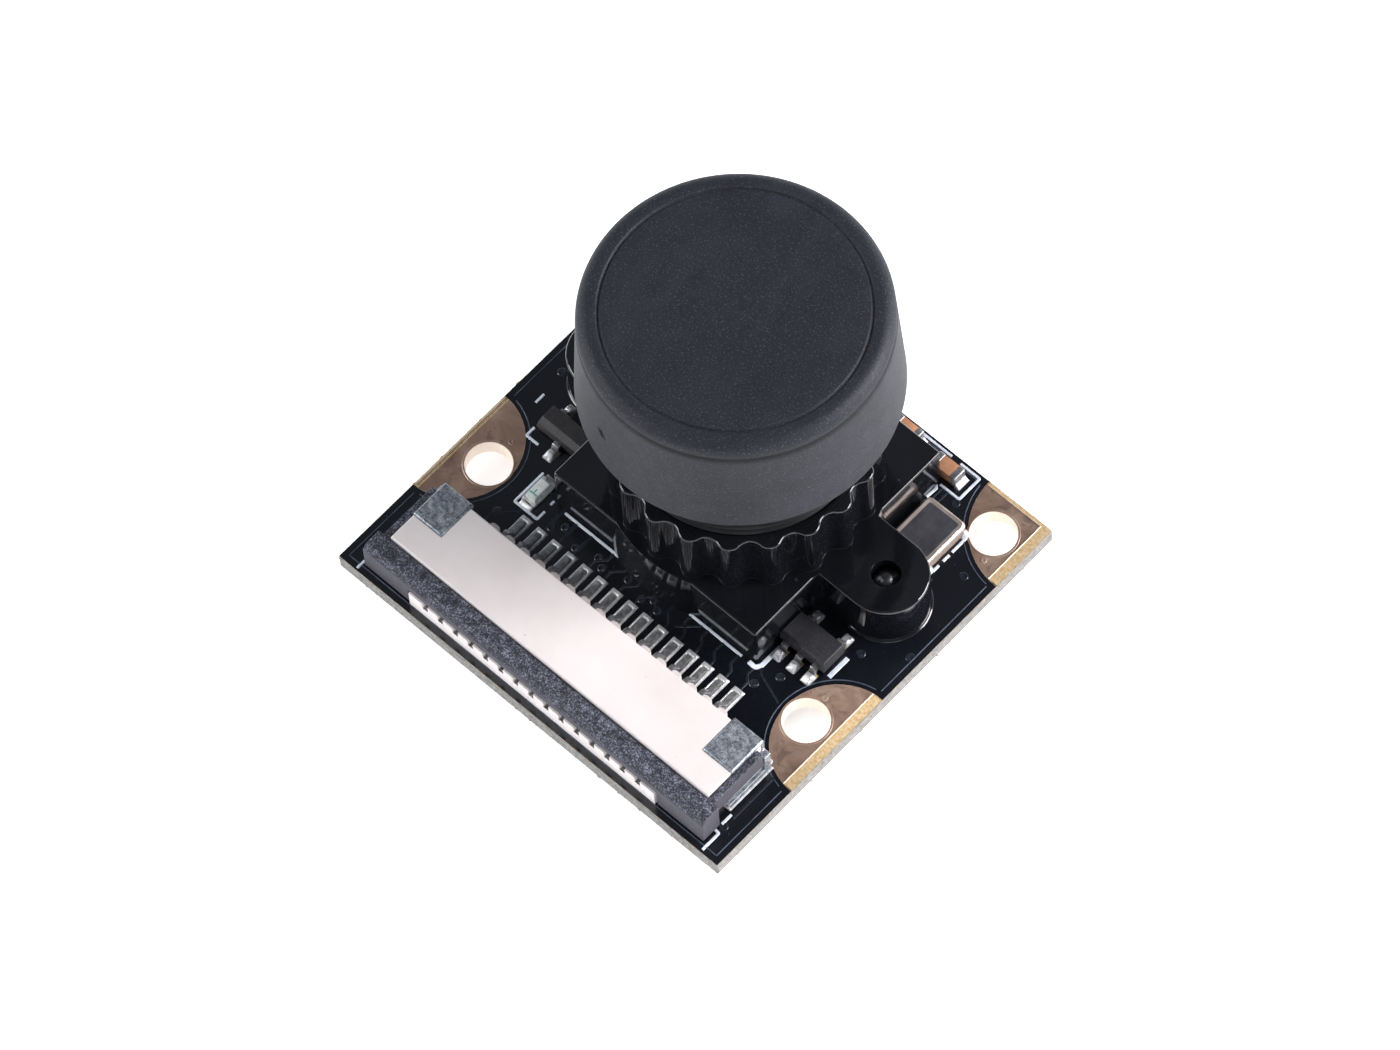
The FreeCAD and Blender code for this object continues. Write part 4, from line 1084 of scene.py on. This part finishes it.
def contact_strips():
    """Fifteen bent contacts with rounded bends: foot, rise and the run through the housing."""
    shape = Shape()
    low = 0.02
    high = CONTACTS_MAX.z - CONTACT_SHEET
    path = [(CONTACTS_MAX.y, low), (6.42, low), (6.1, high), (CONTACTS_MIN.y, high)]
    outline = strip_outline(rounded_path(path, 0.2), -CONTACT_SHEET)
    for x in contact_centres():
        strip = Shape().across(outline, x - CONTACT_WIDTH / 2, x + CONTACT_WIDTH / 2)
        shape.add(strip.bevel(0.02, 60, 2))
    return shape


LATCH_BAR_BASE = 1.25
LATCH_BAR_REAR = 1.65
LATCH_BEVEL = 0.32
LATCH_OVERLAP = 0.2


def latch():
    """The black latch: bevelled front bar with end posts, side arms and the wedge behind it."""
    low, high = size_of("connector_slider")
    profile = [
        (low.y, LATCH_BAR_BASE),
        (LATCH_BAR_REAR, LATCH_BAR_BASE),
        (LATCH_BAR_REAR, high.z),
        (low.y + LATCH_BEVEL, high.z),
        (low.y, high.z - LATCH_BEVEL),
    ]
    shape = Shape().across(profile, low.x, high.x)
    rear = LATCH_BAR_REAR - LATCH_OVERLAP
    for side in SIDES:
        post = span(side, 8.2, high.x)
        shape.join(Shape().box(*post, low.y, LATCH_BAR_REAR, low.z, LATCH_BAR_BASE + LATCH_OVERLAP))
        shape.join(Shape().box(*span(side, 10.5, 10.9), rear, high.y, 0.82, high.z))
    shape.join(Shape().box(-8.05, 8.05, rear, 4.0, 1.55, 1.85))
    return shape.bevel(0.055, 30, 3)


def nail(side):
    """One tinned hold-down: chamfered tab over the housing's corner, drop behind it and a foot outside."""
    name = "solder_nail_right" if side > 0 else "solder_nail_left"
    low, high = size_of(name)
    inner = min(abs(low.x), abs(high.x))
    outer = max(abs(low.x), abs(high.x))
    tab_outer = 10.5
    tab_front = 3.32
    tab_top = high.z + 0.08
    rim = 0.06
    wide_rim = 0.15
    x_base = span(side, inner, tab_outer)
    x_top = span(side, inner + wide_rim, tab_outer - rim)
    shape = Shape().levels([
        (rectangle(*x_base, tab_front, high.y), high.z - 0.2),
        (rectangle(*x_base, tab_front, high.y), high.z - 0.01),
        (rectangle(*x_top, tab_front + rim, high.y - rim), tab_top),
    ])
    parts = [
        (9.35, tab_outer, high.y - 0.18, high.y, low.z, high.z - 0.1),
        (tab_outer - 0.1, outer, 5.2, high.y, low.z, 1.4),
        (tab_outer, outer, low.y, high.y, low.z, low.z + 0.15),
        (tab_outer, tab_outer + 0.15, 3.2, high.y, low.z, 0.75),
    ]
    for start, end, *rest in parts:
        shape.join(Shape().box(*span(side, start, end), *rest))
    return shape.bevel(0.04, 30, 3)


# ---------------------------------------------------------------- lens


THREAD_PITCH = 0.5
THREAD_DEPTH = 0.27
BARREL_RADIUS = 5.95
NECK_TOP = 9.3
STEPS_PER_PITCH = 6
EAR_OFFSET = 9.1
EAR_RADIUS = 2.15
FLASH_REACH = 0.1
FLASH_HEIGHT = 0.07
FLASH_ROOT = EAR_RADIUS - 0.04


def ear_flash():
    """The thin bevelled flash that the mould leaves round the foot of each screw ear."""
    shape = Shape()
    profile = [
        (FLASH_ROOT, MASK_TOP),
        (EAR_RADIUS + FLASH_REACH, MASK_TOP),
        (EAR_RADIUS + FLASH_REACH * 0.8, MASK_TOP + FLASH_HEIGHT * 0.35),
        (EAR_RADIUS + 0.01, MASK_TOP + FLASH_HEIGHT),
        (FLASH_ROOT, MASK_TOP + FLASH_HEIGHT),
    ]
    for side in SIDES:
        shape.lathe(profile, 96, AXIS.x + side * EAR_OFFSET)
    return shape


def ridge(phase, sharpness):
    """1 on a thread's crest, falling to 0 in the groove between two turns."""
    return min(1.0, sharpness * (1 - abs(2 * phase - 1)))


def barrel():
    """The barrel: threaded neck, plain head, stepped seats inside."""
    low, high = size_of("lens_barrel")
    head = (high.x - low.x) / 2
    start = low.z + 0.3
    count = int((NECK_TOP - start) / THREAD_PITCH * STEPS_PER_PITCH)
    outside = [
        (BARREL_RADIUS - 0.05, NECK_TOP + 0.02), (head - 0.03, 10.3), (head, 10.36), (head, high.z - 0.32),
        (head - 0.04, high.z - 0.26), (head - 0.28, high.z - 0.03), (head - 0.34, high.z), (6.26, high.z),
    ]
    inside = [
        (6.2, high.z), (6.2, 14.2), (5.2, 14.2), (5.2, 10.6), (3.2, 10.6), (3.2, 10.0), (3.7, 10.0),
        (3.7, low.z),
    ]
    rows = []
    for turn in angles(144):
        row = [(5.6, low.z)]
        for step in range(count + 1):
            z = start + (NECK_TOP - start) * step / count
            phase = ((z - start) / THREAD_PITCH - turn / (2 * math.pi)) % 1.0
            fade = max(min(1.0, (z - start) / 0.4, (NECK_TOP - z) / 0.3), 0.0)
            row.append((BARREL_RADIUS - THREAD_DEPTH * (1 - ridge(phase, 1.25)) * fade, z))
        rows.append(turned(row + outside + inside, turn, AXIS.x, AXIS.y))
    return Shape().rows(rows, loop=True, ring=True)


CAP_EDGE = 0.7
CAP_STEP = 0.14
CAP_GROOVE = 6.5
CAP_DISH = 0.03
CAP_BORE = 7.03
CAP_SOCKET = 6.6


def cap_profile():
    """The cap's closed outline: tapered side, round top edge, fine groove and stepped inside."""
    rim, top = CAP_MIN.z, CAP_MAX.z
    outer = (CAP_MAX.x - CAP_MIN.x) / 2
    top_radius = outer - 0.4
    shoulder = top - CAP_EDGE
    taper = (outer - top_radius) / (top - rim)
    points = [(CAP_BORE, rim + 0.12), (7.1, rim + 0.03), (7.2, rim)]
    points += [(outer - 0.14, rim), (outer - 0.04, rim + 0.04)]
    z = rim + CAP_STEP
    while z < shoulder - 0.5:
        points.append((outer - taper * (z - rim), z))
        z += CAP_STEP
    lip = top_radius + taper * CAP_EDGE
    crease = ((0.01, 0.4), (-0.03, 0.32), (-0.08, 0.25), (-0.1, 0.18), (-0.09, 0.11), (-0.04, 0.04))
    points += [(lip + offset, shoulder - drop) for offset, drop in crease]
    for step in range(13):
        a = math.radians(90 * step / 12)
        points.append((lip - CAP_EDGE + CAP_EDGE * math.cos(a), shoulder + CAP_EDGE * math.sin(a)))
    groove = ((0.2, 0), (0.11, 0.02), (0.06, 0.09), (0, 0.13), (-0.06, 0.09), (-0.11, 0.02), (-0.2, 0))
    points += [(CAP_GROOVE + offset, top - drop) for offset, drop in groove]
    points += [(r, top - CAP_DISH * (1 - (r / CAP_GROOVE) ** 2)) for r in (5.6, 4.6, 3.4, 2.2, 1.0)]
    return points + [
        (0, top - CAP_DISH), (0, 17.85), (6.4, 17.85), (CAP_SOCKET, 17.65), (CAP_SOCKET, 16.6),
        (CAP_BORE, 16.55),
    ]


MARK_TURN = math.radians(-103.5)
MARK_SLANT = math.radians(-32)
MARK_Z = 14.4
MARK_RADIUS = 7.77
MARK_DEPTH = 0.34


def dent(p):
    """Presses the gate mark, a shallow slanted nick, into the cap's side."""
    flat = Vector((p.x - AXIS.x, p.y - AXIS.y))
    if flat.length < 7.3 or abs(p.z - MARK_Z) >= 1.0:
        return p
    along = math.remainder(math.atan2(flat.y, flat.x) - MARK_TURN, 2 * math.pi) * MARK_RADIUS
    up = p.z - MARK_Z
    u = along * math.cos(MARK_SLANT) + up * math.sin(MARK_SLANT)
    v = -along * math.sin(MARK_SLANT) + up * math.cos(MARK_SLANT)
    inside = 1 - (u / 0.42) ** 2 - (v / 0.17) ** 2
    shrink = 1 - MARK_DEPTH * max(inside, 0) ** 0.6 / flat.length
    return Vector((AXIS.x + flat.x * shrink, AXIS.y + flat.y * shrink, p.z))


def cap():
    return Shape().lathe(cap_profile(), 600).clean().move(dent)


SCREW_HEAD = 1.3
SHANK = 0.7
SCREW_PITCH = 0.35
CROSS_ARM = 0.72
CROSS_HALF = 0.16


def screw(side):
    """A pan-head screw with a cross recess, a threaded shank and a blunt point."""
    low, high = size_of("holder_screws")
    head = SCREW_HEAD
    seat = BOARD_MIN.z - BOARD_MAX.z - 0.06
    x = side * (high.x - head)
    tip = high.z - 0.35
    below = [
        (0.0, low.z), (head * 0.5, low.z), (head - 0.35, low.z + 0.02), (head - 0.13, low.z + 0.13),
        (head - 0.02, low.z + 0.32), (head, low.z + 0.45), (head, seat - 0.02), (head - 0.03, seat),
        (SHANK + 0.02, seat),
    ]
    point = [(0.25, high.z - 0.03), (0.15, high.z), (0.0, high.z)]
    rows = []
    steps = int((tip - seat) / SCREW_PITCH * STEPS_PER_PITCH)
    for turn in angles(40):
        thread = []
        for step in range(steps + 1):
            z = seat + (tip - seat) * step / steps
            phase = (z / SCREW_PITCH - turn / (2 * math.pi)) % 1.0
            thread.append((SHANK - 0.12 * (1 - ridge(phase, 1.3)), z))
        rows.append(turned(below + thread + point, turn, x, AXIS.y))
    shape = Shape().rows(rows, loop=True, ring=True).clean()
    outline = []
    for quarter in range(4):
        a = quarter * math.pi / 2
        for along, over in ((CROSS_ARM, -CROSS_HALF), (CROSS_ARM, CROSS_HALF), (CROSS_HALF, CROSS_HALF)):
            cross_x = x + along * math.cos(a) - over * math.sin(a)
            outline.append((cross_x, AXIS.y + along * math.sin(a) + over * math.cos(a)))
    return shape.cut(Shape().prism(outline, low.z - 0.2, low.z + 0.4))


# ---------------------------------------------------------------- small parts


def package_body(node, front_chamfer):
    """A drafted moulding with a chamfer along its front top edge."""
    low, high = size_of(node)
    waist = 0.5
    draft = 0.09
    shape = Shape().levels([
        (rectangle(low.x + draft, high.x - draft, low.y + draft, high.y - draft), low.z),
        (rectangle(low.x, high.x, low.y, high.y), waist),
        (rectangle(low.x + 0.06, high.x - 0.06, low.y + 0.06, high.y - 0.06), high.z - front_chamfer * 0.8),
        (rectangle(low.x + draft, high.x - draft, low.y + draft + front_chamfer, high.y - draft), high.z),
    ])
    return shape.bevel(0.035, 18, 2)


LEAD_SPACING = 0.95
LEAD_WIDTH = 0.4


def lead_layout(node):
    """Each lead of a package: (x, y where it leaves the body, way along Y)."""
    low, high = size_of(node.replace("leads", "body"))
    x = (low.x + high.x) / 2
    front = (0,) if "left" in node else (-LEAD_SPACING, 0, LEAD_SPACING)
    places = [(x + offset, low.y, -1) for offset in front]
    places += [(x + offset, high.y, 1) for offset in (-LEAD_SPACING, LEAD_SPACING)]
    return places


def lead_feet():
    """(x, toe y, way, foot length) of every gull-wing lead."""
    feet = []
    for node in ("regulator_left_leads", "regulator_right_leads"):
        for x, y, way in lead_layout(node):
            feet.append((x, y + way * 0.6, way, 0.3))
    return feet


def package_leads(node):
    """Gull-wing leads bent from sheet, with rounded knees."""
    shape = Shape()
    sheet = 0.13
    for x, y, way in lead_layout(node):
        path = [(y - way * 0.1, 0.5), (y + way * 0.2, 0.5), (y + way * 0.3, 0.09), (y + way * 0.6, 0.09)]
        middle = strip_outline(rounded_path(path, 0.07, 4), sheet / 2)[: 2 + 2 * 5]
        outline = strip_outline([Vector(p) for p in middle], sheet / 2)
        strip = Shape().across(outline, x - LEAD_WIDTH / 2, x + LEAD_WIDTH / 2)
        shape.add(strip.bevel(0.02, 60, 2))
    return shape


PLATE_INSET = 0.17


def inset_outline(low, high, inset, radius):
    """A rounded rectangle that much inside a node's box."""
    return rounded_rectangle(low.x + inset, high.x - inset, low.y + inset, high.y - inset, radius)


def crystal_rim():
    """The welded metal frame round the crystal's lid."""
    low, high = size_of("crystal_lid")
    base_low, base_high = size_of("crystal_base")
    outer = inset_outline(base_low, base_high, 0.03, 0.26)
    middle = inset_outline(low, high, 0.0, 0.22)
    inner = inset_outline(low, high, PLATE_INSET, 0.12)
    rows = [
        (inner, base_high.z), (outer, base_high.z), (outer, high.z - 0.1), (middle, high.z),
        (inner, high.z - 0.02),
    ]
    return Shape().rows([[(x, y, z) for x, y in outline] for outline, z in rows], loop=True, ring=True)


def crystal_plate():
    """The lid's plate, a little sunk inside the frame."""
    low, high = size_of("crystal_lid")
    outline = inset_outline(low, high, PLATE_INSET, 0.12)
    inner = inset_outline(low, high, 0.24, 0.1)
    return Shape().levels([(outline, low.z), (outline, high.z - 0.03), (inner, high.z - 0.012)])


def crystal_body():
    """The ceramic base, with round notches at its corners."""
    low, high = size_of("crystal_base")
    shape = Shape().box(low.x, high.x, low.y, high.y, low.z, high.z)
    for x in (low.x, high.x):
        for y in (low.y, high.y):
            shape.cut(Shape().prism(circle(x, y, 0.17, 20), low.z - 0.1, high.z + 0.1))
    return shape


def crystal_metal_feet():
    """Solder that runs up the crystal's corner notches."""
    low, high = size_of("crystal_base")
    shape = Shape()
    fillet = [(0.0, -0.03), (0.3, -0.03), (0.27, 0.05), (0.2, 0.16), (0.14, 0.3), (0.07, 0.36), (0.0, 0.37)]
    for way_x, x in ((-1, low.x), (1, high.x)):
        for way_y, y in ((-1, low.y), (1, high.y)):
            shape.lathe(fillet, 20, x - way_x * 0.02, y - way_y * 0.3)
    return shape


CHIP_HALF_Y = 0.4


def chip_centres():
    low, high = size_of("capacitor_bodies")
    half_x = 0.45
    return [(high.x - half_x, low.y + CHIP_HALF_Y), (low.x + half_x, high.y - CHIP_HALF_Y)]


def chip_ends():
    """(end face x, y, way) of every capacitor end."""
    return [(x + way * 0.8, y, way) for x, y in chip_centres() for way in SIDES]


def chip_bodies():
    low, high = size_of("capacitor_bodies")
    shape = Shape()
    for x, y in chip_centres():
        block = Shape().box(x - 0.5, x + 0.5, y - 0.385, y + 0.385, low.z + 0.02, high.z - 0.02)
        shape.add(block.bevel(0.03, 30, 2))
    return shape


def chip_caps():
    low, high = size_of("capacitor_ends")
    shape = Shape()
    for x, y in chip_centres():
        for way in SIDES:
            x0, x1 = sorted((x + way * 0.43, x + way * 0.81))
            shape.add(Shape().box(x0, x1, y - 0.41, y + 0.41, low.z, high.z + 0.01).bevel(0.09, 30, 4))
    return shape


def led_dome():
    """The LED's resin, tapering upwards, on its thin carrier."""
    low, high = size_of("status_led_body")
    shape = Shape().levels([
        (rectangle(low.x, high.x, low.y - 0.12, high.y + 0.12), low.z + 0.16),
        (rectangle(low.x + 0.02, high.x - 0.02, low.y - 0.06, high.y + 0.06), high.z - 0.05),
        (rectangle(low.x + 0.05, high.x - 0.05, low.y, high.y), high.z),
    ])
    return shape.bevel(0.04, 25, 3)


def led_carrier():
    low, high = size_of("status_led_ends")
    return Shape().box(low.x, high.x, low.y + 0.05, high.y - 0.05, low.z, low.z + 0.17).bevel(0.02, 30, 2)


def led_terminals():
    """Wrapped metal ends with the round bite of a plated half-hole."""
    low, high = size_of("status_led_ends")
    middle = (low.x + high.x) / 2
    shape = Shape()
    for y, way in ((low.y, 1), (high.y, -1)):
        y0, y1 = sorted((y, y + way * 0.3))
        block = Shape().box(low.x - 0.01, high.x + 0.01, y0, y1, low.z, low.z + 0.21)
        block.cut(Shape().prism(circle(middle, y, 0.18, 20), low.z - 0.1, high.z + 0.1))
        shape.add(block.bevel(0.015, 40, 2))
    return shape


def led_marks():
    """The green polarity marks on the LED's carrier and resin."""
    low, high = size_of("status_led_body")
    middle = (low.x + high.x) / 2
    top = high.z
    shape = Shape()
    bar_y = low.y + 0.13
    shape.ribbon([(middle - 0.24, bar_y), (middle + 0.24, bar_y)], 0.09, top - 0.02, top + 0.006)
    shape.ribbon([(middle, bar_y), (middle, low.y + 0.42)], 0.09, top - 0.02, top + 0.0065)
    return shape


# ---------------------------------------------------------------- camera, light and floor


WORLD_HORIZON = 1.0
WORLD_SHOULDER = 0.11
WORLD_ZENITH = 0.2
SKY_TINT = (0.9, 0.98, 1.14)


def place(name, data, azimuth, elevation, aim, distance, roll=0.0):
    """A camera or light that looks at a point from a direction in degrees."""
    a, e = math.radians(azimuth), math.radians(elevation)
    back = Vector((math.sin(a) * math.cos(e), -math.cos(a) * math.cos(e), math.sin(e)))
    made = link(name, data)
    made.location = Vector(aim) * MM + back * distance
    made.rotation_mode = "QUATERNION"
    turn = Quaternion((0, 0, 1), math.radians(roll))
    made.rotation_quaternion = (-back).to_track_quat("-Z", "Y") @ turn
    return made


def make_camera():
    """The camera at the photographed angle."""
    data = bpy.data.cameras.new("photo_camera")
    data.lens = CAMERA_LENS
    data.sensor_width = 36.0
    data.clip_start = 0.01
    data.clip_end = 20.0
    direction = (CAMERA_AZIMUTH, CAMERA_ELEVATION)
    camera = place("photo_camera", data, *direction, CAMERA_AIM, CAMERA_DISTANCE * MM, CAMERA_ROLL)
    bpy.context.scene.camera = camera


LIGHT_AIM = (0, 0, 8)


def soft_light(name, azimuth, elevation, distance, size, power, colour=(1, 1, 1)):
    """A large square light that faces the object from a direction."""
    data = bpy.data.lights.new(name, "AREA")
    data.shape = "SQUARE"
    data.size = size
    data.energy = power
    data.color = colour
    place(name, data, azimuth, elevation, LIGHT_AIM, distance)


def make_world():
    """A soft studio: bright round the horizon and dim overhead."""
    world = bpy.data.worlds.new("studio")
    bpy.context.scene.world = world
    world.use_nodes = True
    nodes, links = world.node_tree.nodes, world.node_tree.links
    background = next(n for n in nodes if n.type == "BACKGROUND")
    coordinates = nodes.new("ShaderNodeTexCoord")
    split = nodes.new("ShaderNodeSeparateXYZ")
    ramp = nodes.new("ShaderNodeValToRGB")
    links.new(coordinates.outputs["Generated"], split.inputs["Vector"])
    links.new(split.outputs["Z"], ramp.inputs["Fac"])
    links.new(ramp.outputs["Color"], background.inputs["Color"])
    elements = ramp.color_ramp.elements
    shoulder = ((0.5, WORLD_SHOULDER), (0.75, WORLD_SHOULDER))
    stops = ((0.0, WORLD_HORIZON), (0.26, WORLD_HORIZON), *shoulder, (1.0, WORLD_ZENITH))
    while len(elements) < len(stops):
        elements.new(0.5)
    for element, (position, level) in zip(elements, stops):
        element.position = position
        element.color = (*(level * tint for tint in SKY_TINT), 1)


FLOOR_HALF = 3.0
FLOOR_GAP = 0.00002


def make_floor(material):
    """A wide sheet just under the object."""
    mesh = bpy.data.meshes.new("floor")
    z = CAD_BOX[0].z - FLOOR_GAP
    corners = rectangle(-FLOOR_HALF, FLOOR_HALF, -FLOOR_HALF, FLOOR_HALF)
    mesh.from_pydata([(x, y, z) for x, y in corners], [], [(0, 1, 2, 3)])
    mesh.materials.append(material)
    floor = link("floor", mesh)


# ---------------------------------------------------------------- the object


def build_board(mask, gold, core, ink, solder):
    dress("circuit_board", core)
    dress("solder_mask_top", mask)
    dress("solder_mask_bottom", mask)
    dress("plated_holes", gold)
    piece("sawn_board_edge", sawn_edge(), "board", core)
    covered = covered_copper("mask_over_copper", "#161a22", "#20252f")
    piece("copper_relief_top", copper_relief(), "board", covered)
    piece("copper_relief_back", back_relief(), "board", covered)
    # Painted highlight: the copper's edge lines and the arcs round the lands get a much paler mask colour,
    # for the light caught on the copper's edge step.
    border = covered_copper("mask_over_border_painted_highlight", "#39404d", "#5c6473")
    piece("copper_outline", copper_outline(), "board", border)
    piece("bare_margins", bare_margins(), "board", core)
    piece("gold_land_burrs", land_beads(), "board", gold)
    piece("silkscreen_marks", silkscreen_lines(), "board", ink)
    piece("solder_joints", solder_joints(), "board", solder, ["solder_pads"])


def build_connector(tin, sheet):
    dress("connector_housing", connector_plastic())
    piece("contact_strips", contact_strips(), "board", tin, ["connector_contacts"])
    piece("latch_bar", latch(), "latch", latch_plastic(), ["connector_slider"])
    for side, word in ((-1, "left"), (1, "right")):
        name = "solder_nail_" + word
        piece("hold_down_" + word, nail(side), "board", sheet, [name])


def build_lens(steel):
    metal = barrel_metal()
    glass = coated_glass("optical_glass_coated", "#cfe3dd", 0.95)
    black = holder_plastic()
    dress("lens_holder", black)
    piece("holder_ear_flash", ear_flash(), "board", black)
    piece("threaded_barrel", barrel(), "lens", metal, ["lens_barrel"])
    piece("cap_shell", cap(), "cap", cap_plastic(), ["lens_cap"])
    for node in ("front_retaining_ring", "spacer_ring", "aperture_ring", "rear_retaining_ring"):
        dress(node, metal)
    for node in ("front_element", "second_element", "third_element", "rear_element"):
        dress(node, glass)
    dress("infrared_filter", coated_glass("filter_glass_blue", "#9fc4d8", 0.9))
    dress("sensor_cover_glass", coated_glass("cover_glass_clear", "#dfe8ea", 0.95))
    dress("sensor_package", ceramic("sensor_ceramic_dark", "#2d2a2c", "#3d393b"))
    dress("sensor_die", silicon())
    screws = screw(-1).add(screw(1))
    piece("cross_head_screws", screws, "board", steel, ["holder_screws"])


def build_small_parts(tin, solder):
    right = package_plastic("package_plastic_right", "#1b1c20", "#242529")
    left = package_plastic("package_plastic_left", "#222022", "#2c2827")
    for word, chamfer, material in (("left", 0.3, left), ("right", 0.1, right)):
        body = "regulator_" + word + "_body"
        leads = "regulator_" + word + "_leads"
        piece("moulding_" + word, package_body(body, chamfer), "board", material, [body])
        piece("gull_leads_" + word, package_leads(leads), "board", tin, [leads])
    bronze = brushed_metal("crystal_frame_bronze", "#b8a497", "#eadfd6", 0.24, 0.4, 20, 0.65)
    gunmetal = brushed_metal("crystal_lid_gunmetal", "#46464b", "#6f6f75", 0.3, 0.45, 60, 0.6)
    base = ceramic("crystal_ceramic_tan", "#7d7066", "#9a8c80")
    piece("crystal_tray", crystal_body(), "board", base, ["crystal_base"])
    piece("crystal_frame", crystal_rim(), "board", bronze, ["crystal_lid"])
    piece("crystal_plate", crystal_plate(), "board", gunmetal)
    piece("crystal_solder", crystal_metal_feet(), "board", solder)
    terracotta = ceramic("capacitor_ceramic_tan", "#ab7757", "#c9946f", 0.3, 0.5)
    piece("chip_bodies", chip_bodies(), "board", terracotta, ["capacitor_bodies"])
    piece("chip_end_caps", chip_caps(), "board", tin, ["capacitor_ends"])
    carrier = ceramic("led_carrier_white", "#d6dad4", "#eceee8")
    green = ceramic("led_mark_green", "#2f8f6a", "#4fb388")
    piece("led_resin", led_dome(), "board", clear_resin(), ["status_led_body"])
    piece("led_carrier", led_carrier(), "board", carrier)
    piece("led_terminals", led_terminals(), "board", solder, ["status_led_ends"])
    piece("led_polarity_marks", led_marks(), "board", green)


def main():
    make_camera()
    make_world()
    make_floor(studio_floor())
    soft_light("key_left", -50, 34, 0.6, 0.3, 2.5)
    soft_light("key_right", 130, 27, 0.6, 0.34, 6.6, (1, 0.97, 0.99))
    soft_light("front_fill", 50, 20, 0.7, 0.4, 0.5)
    bpy.context.scene.view_settings.view_transform = "Standard"
    mask = solder_mask()
    gold = gold_plating()
    solder = bright_solder()
    tin = contact_tin()
    steel = brushed_metal("screw_steel_nickel", "#4b4b4d", "#7f7f80", 0.28, 0.42)
    build_board(mask, gold, glass_fibre(), silkscreen(), solder)
    build_connector(tin, tinned_sheet())
    build_lens(steel)
    build_small_parts(tin, solder)


main()
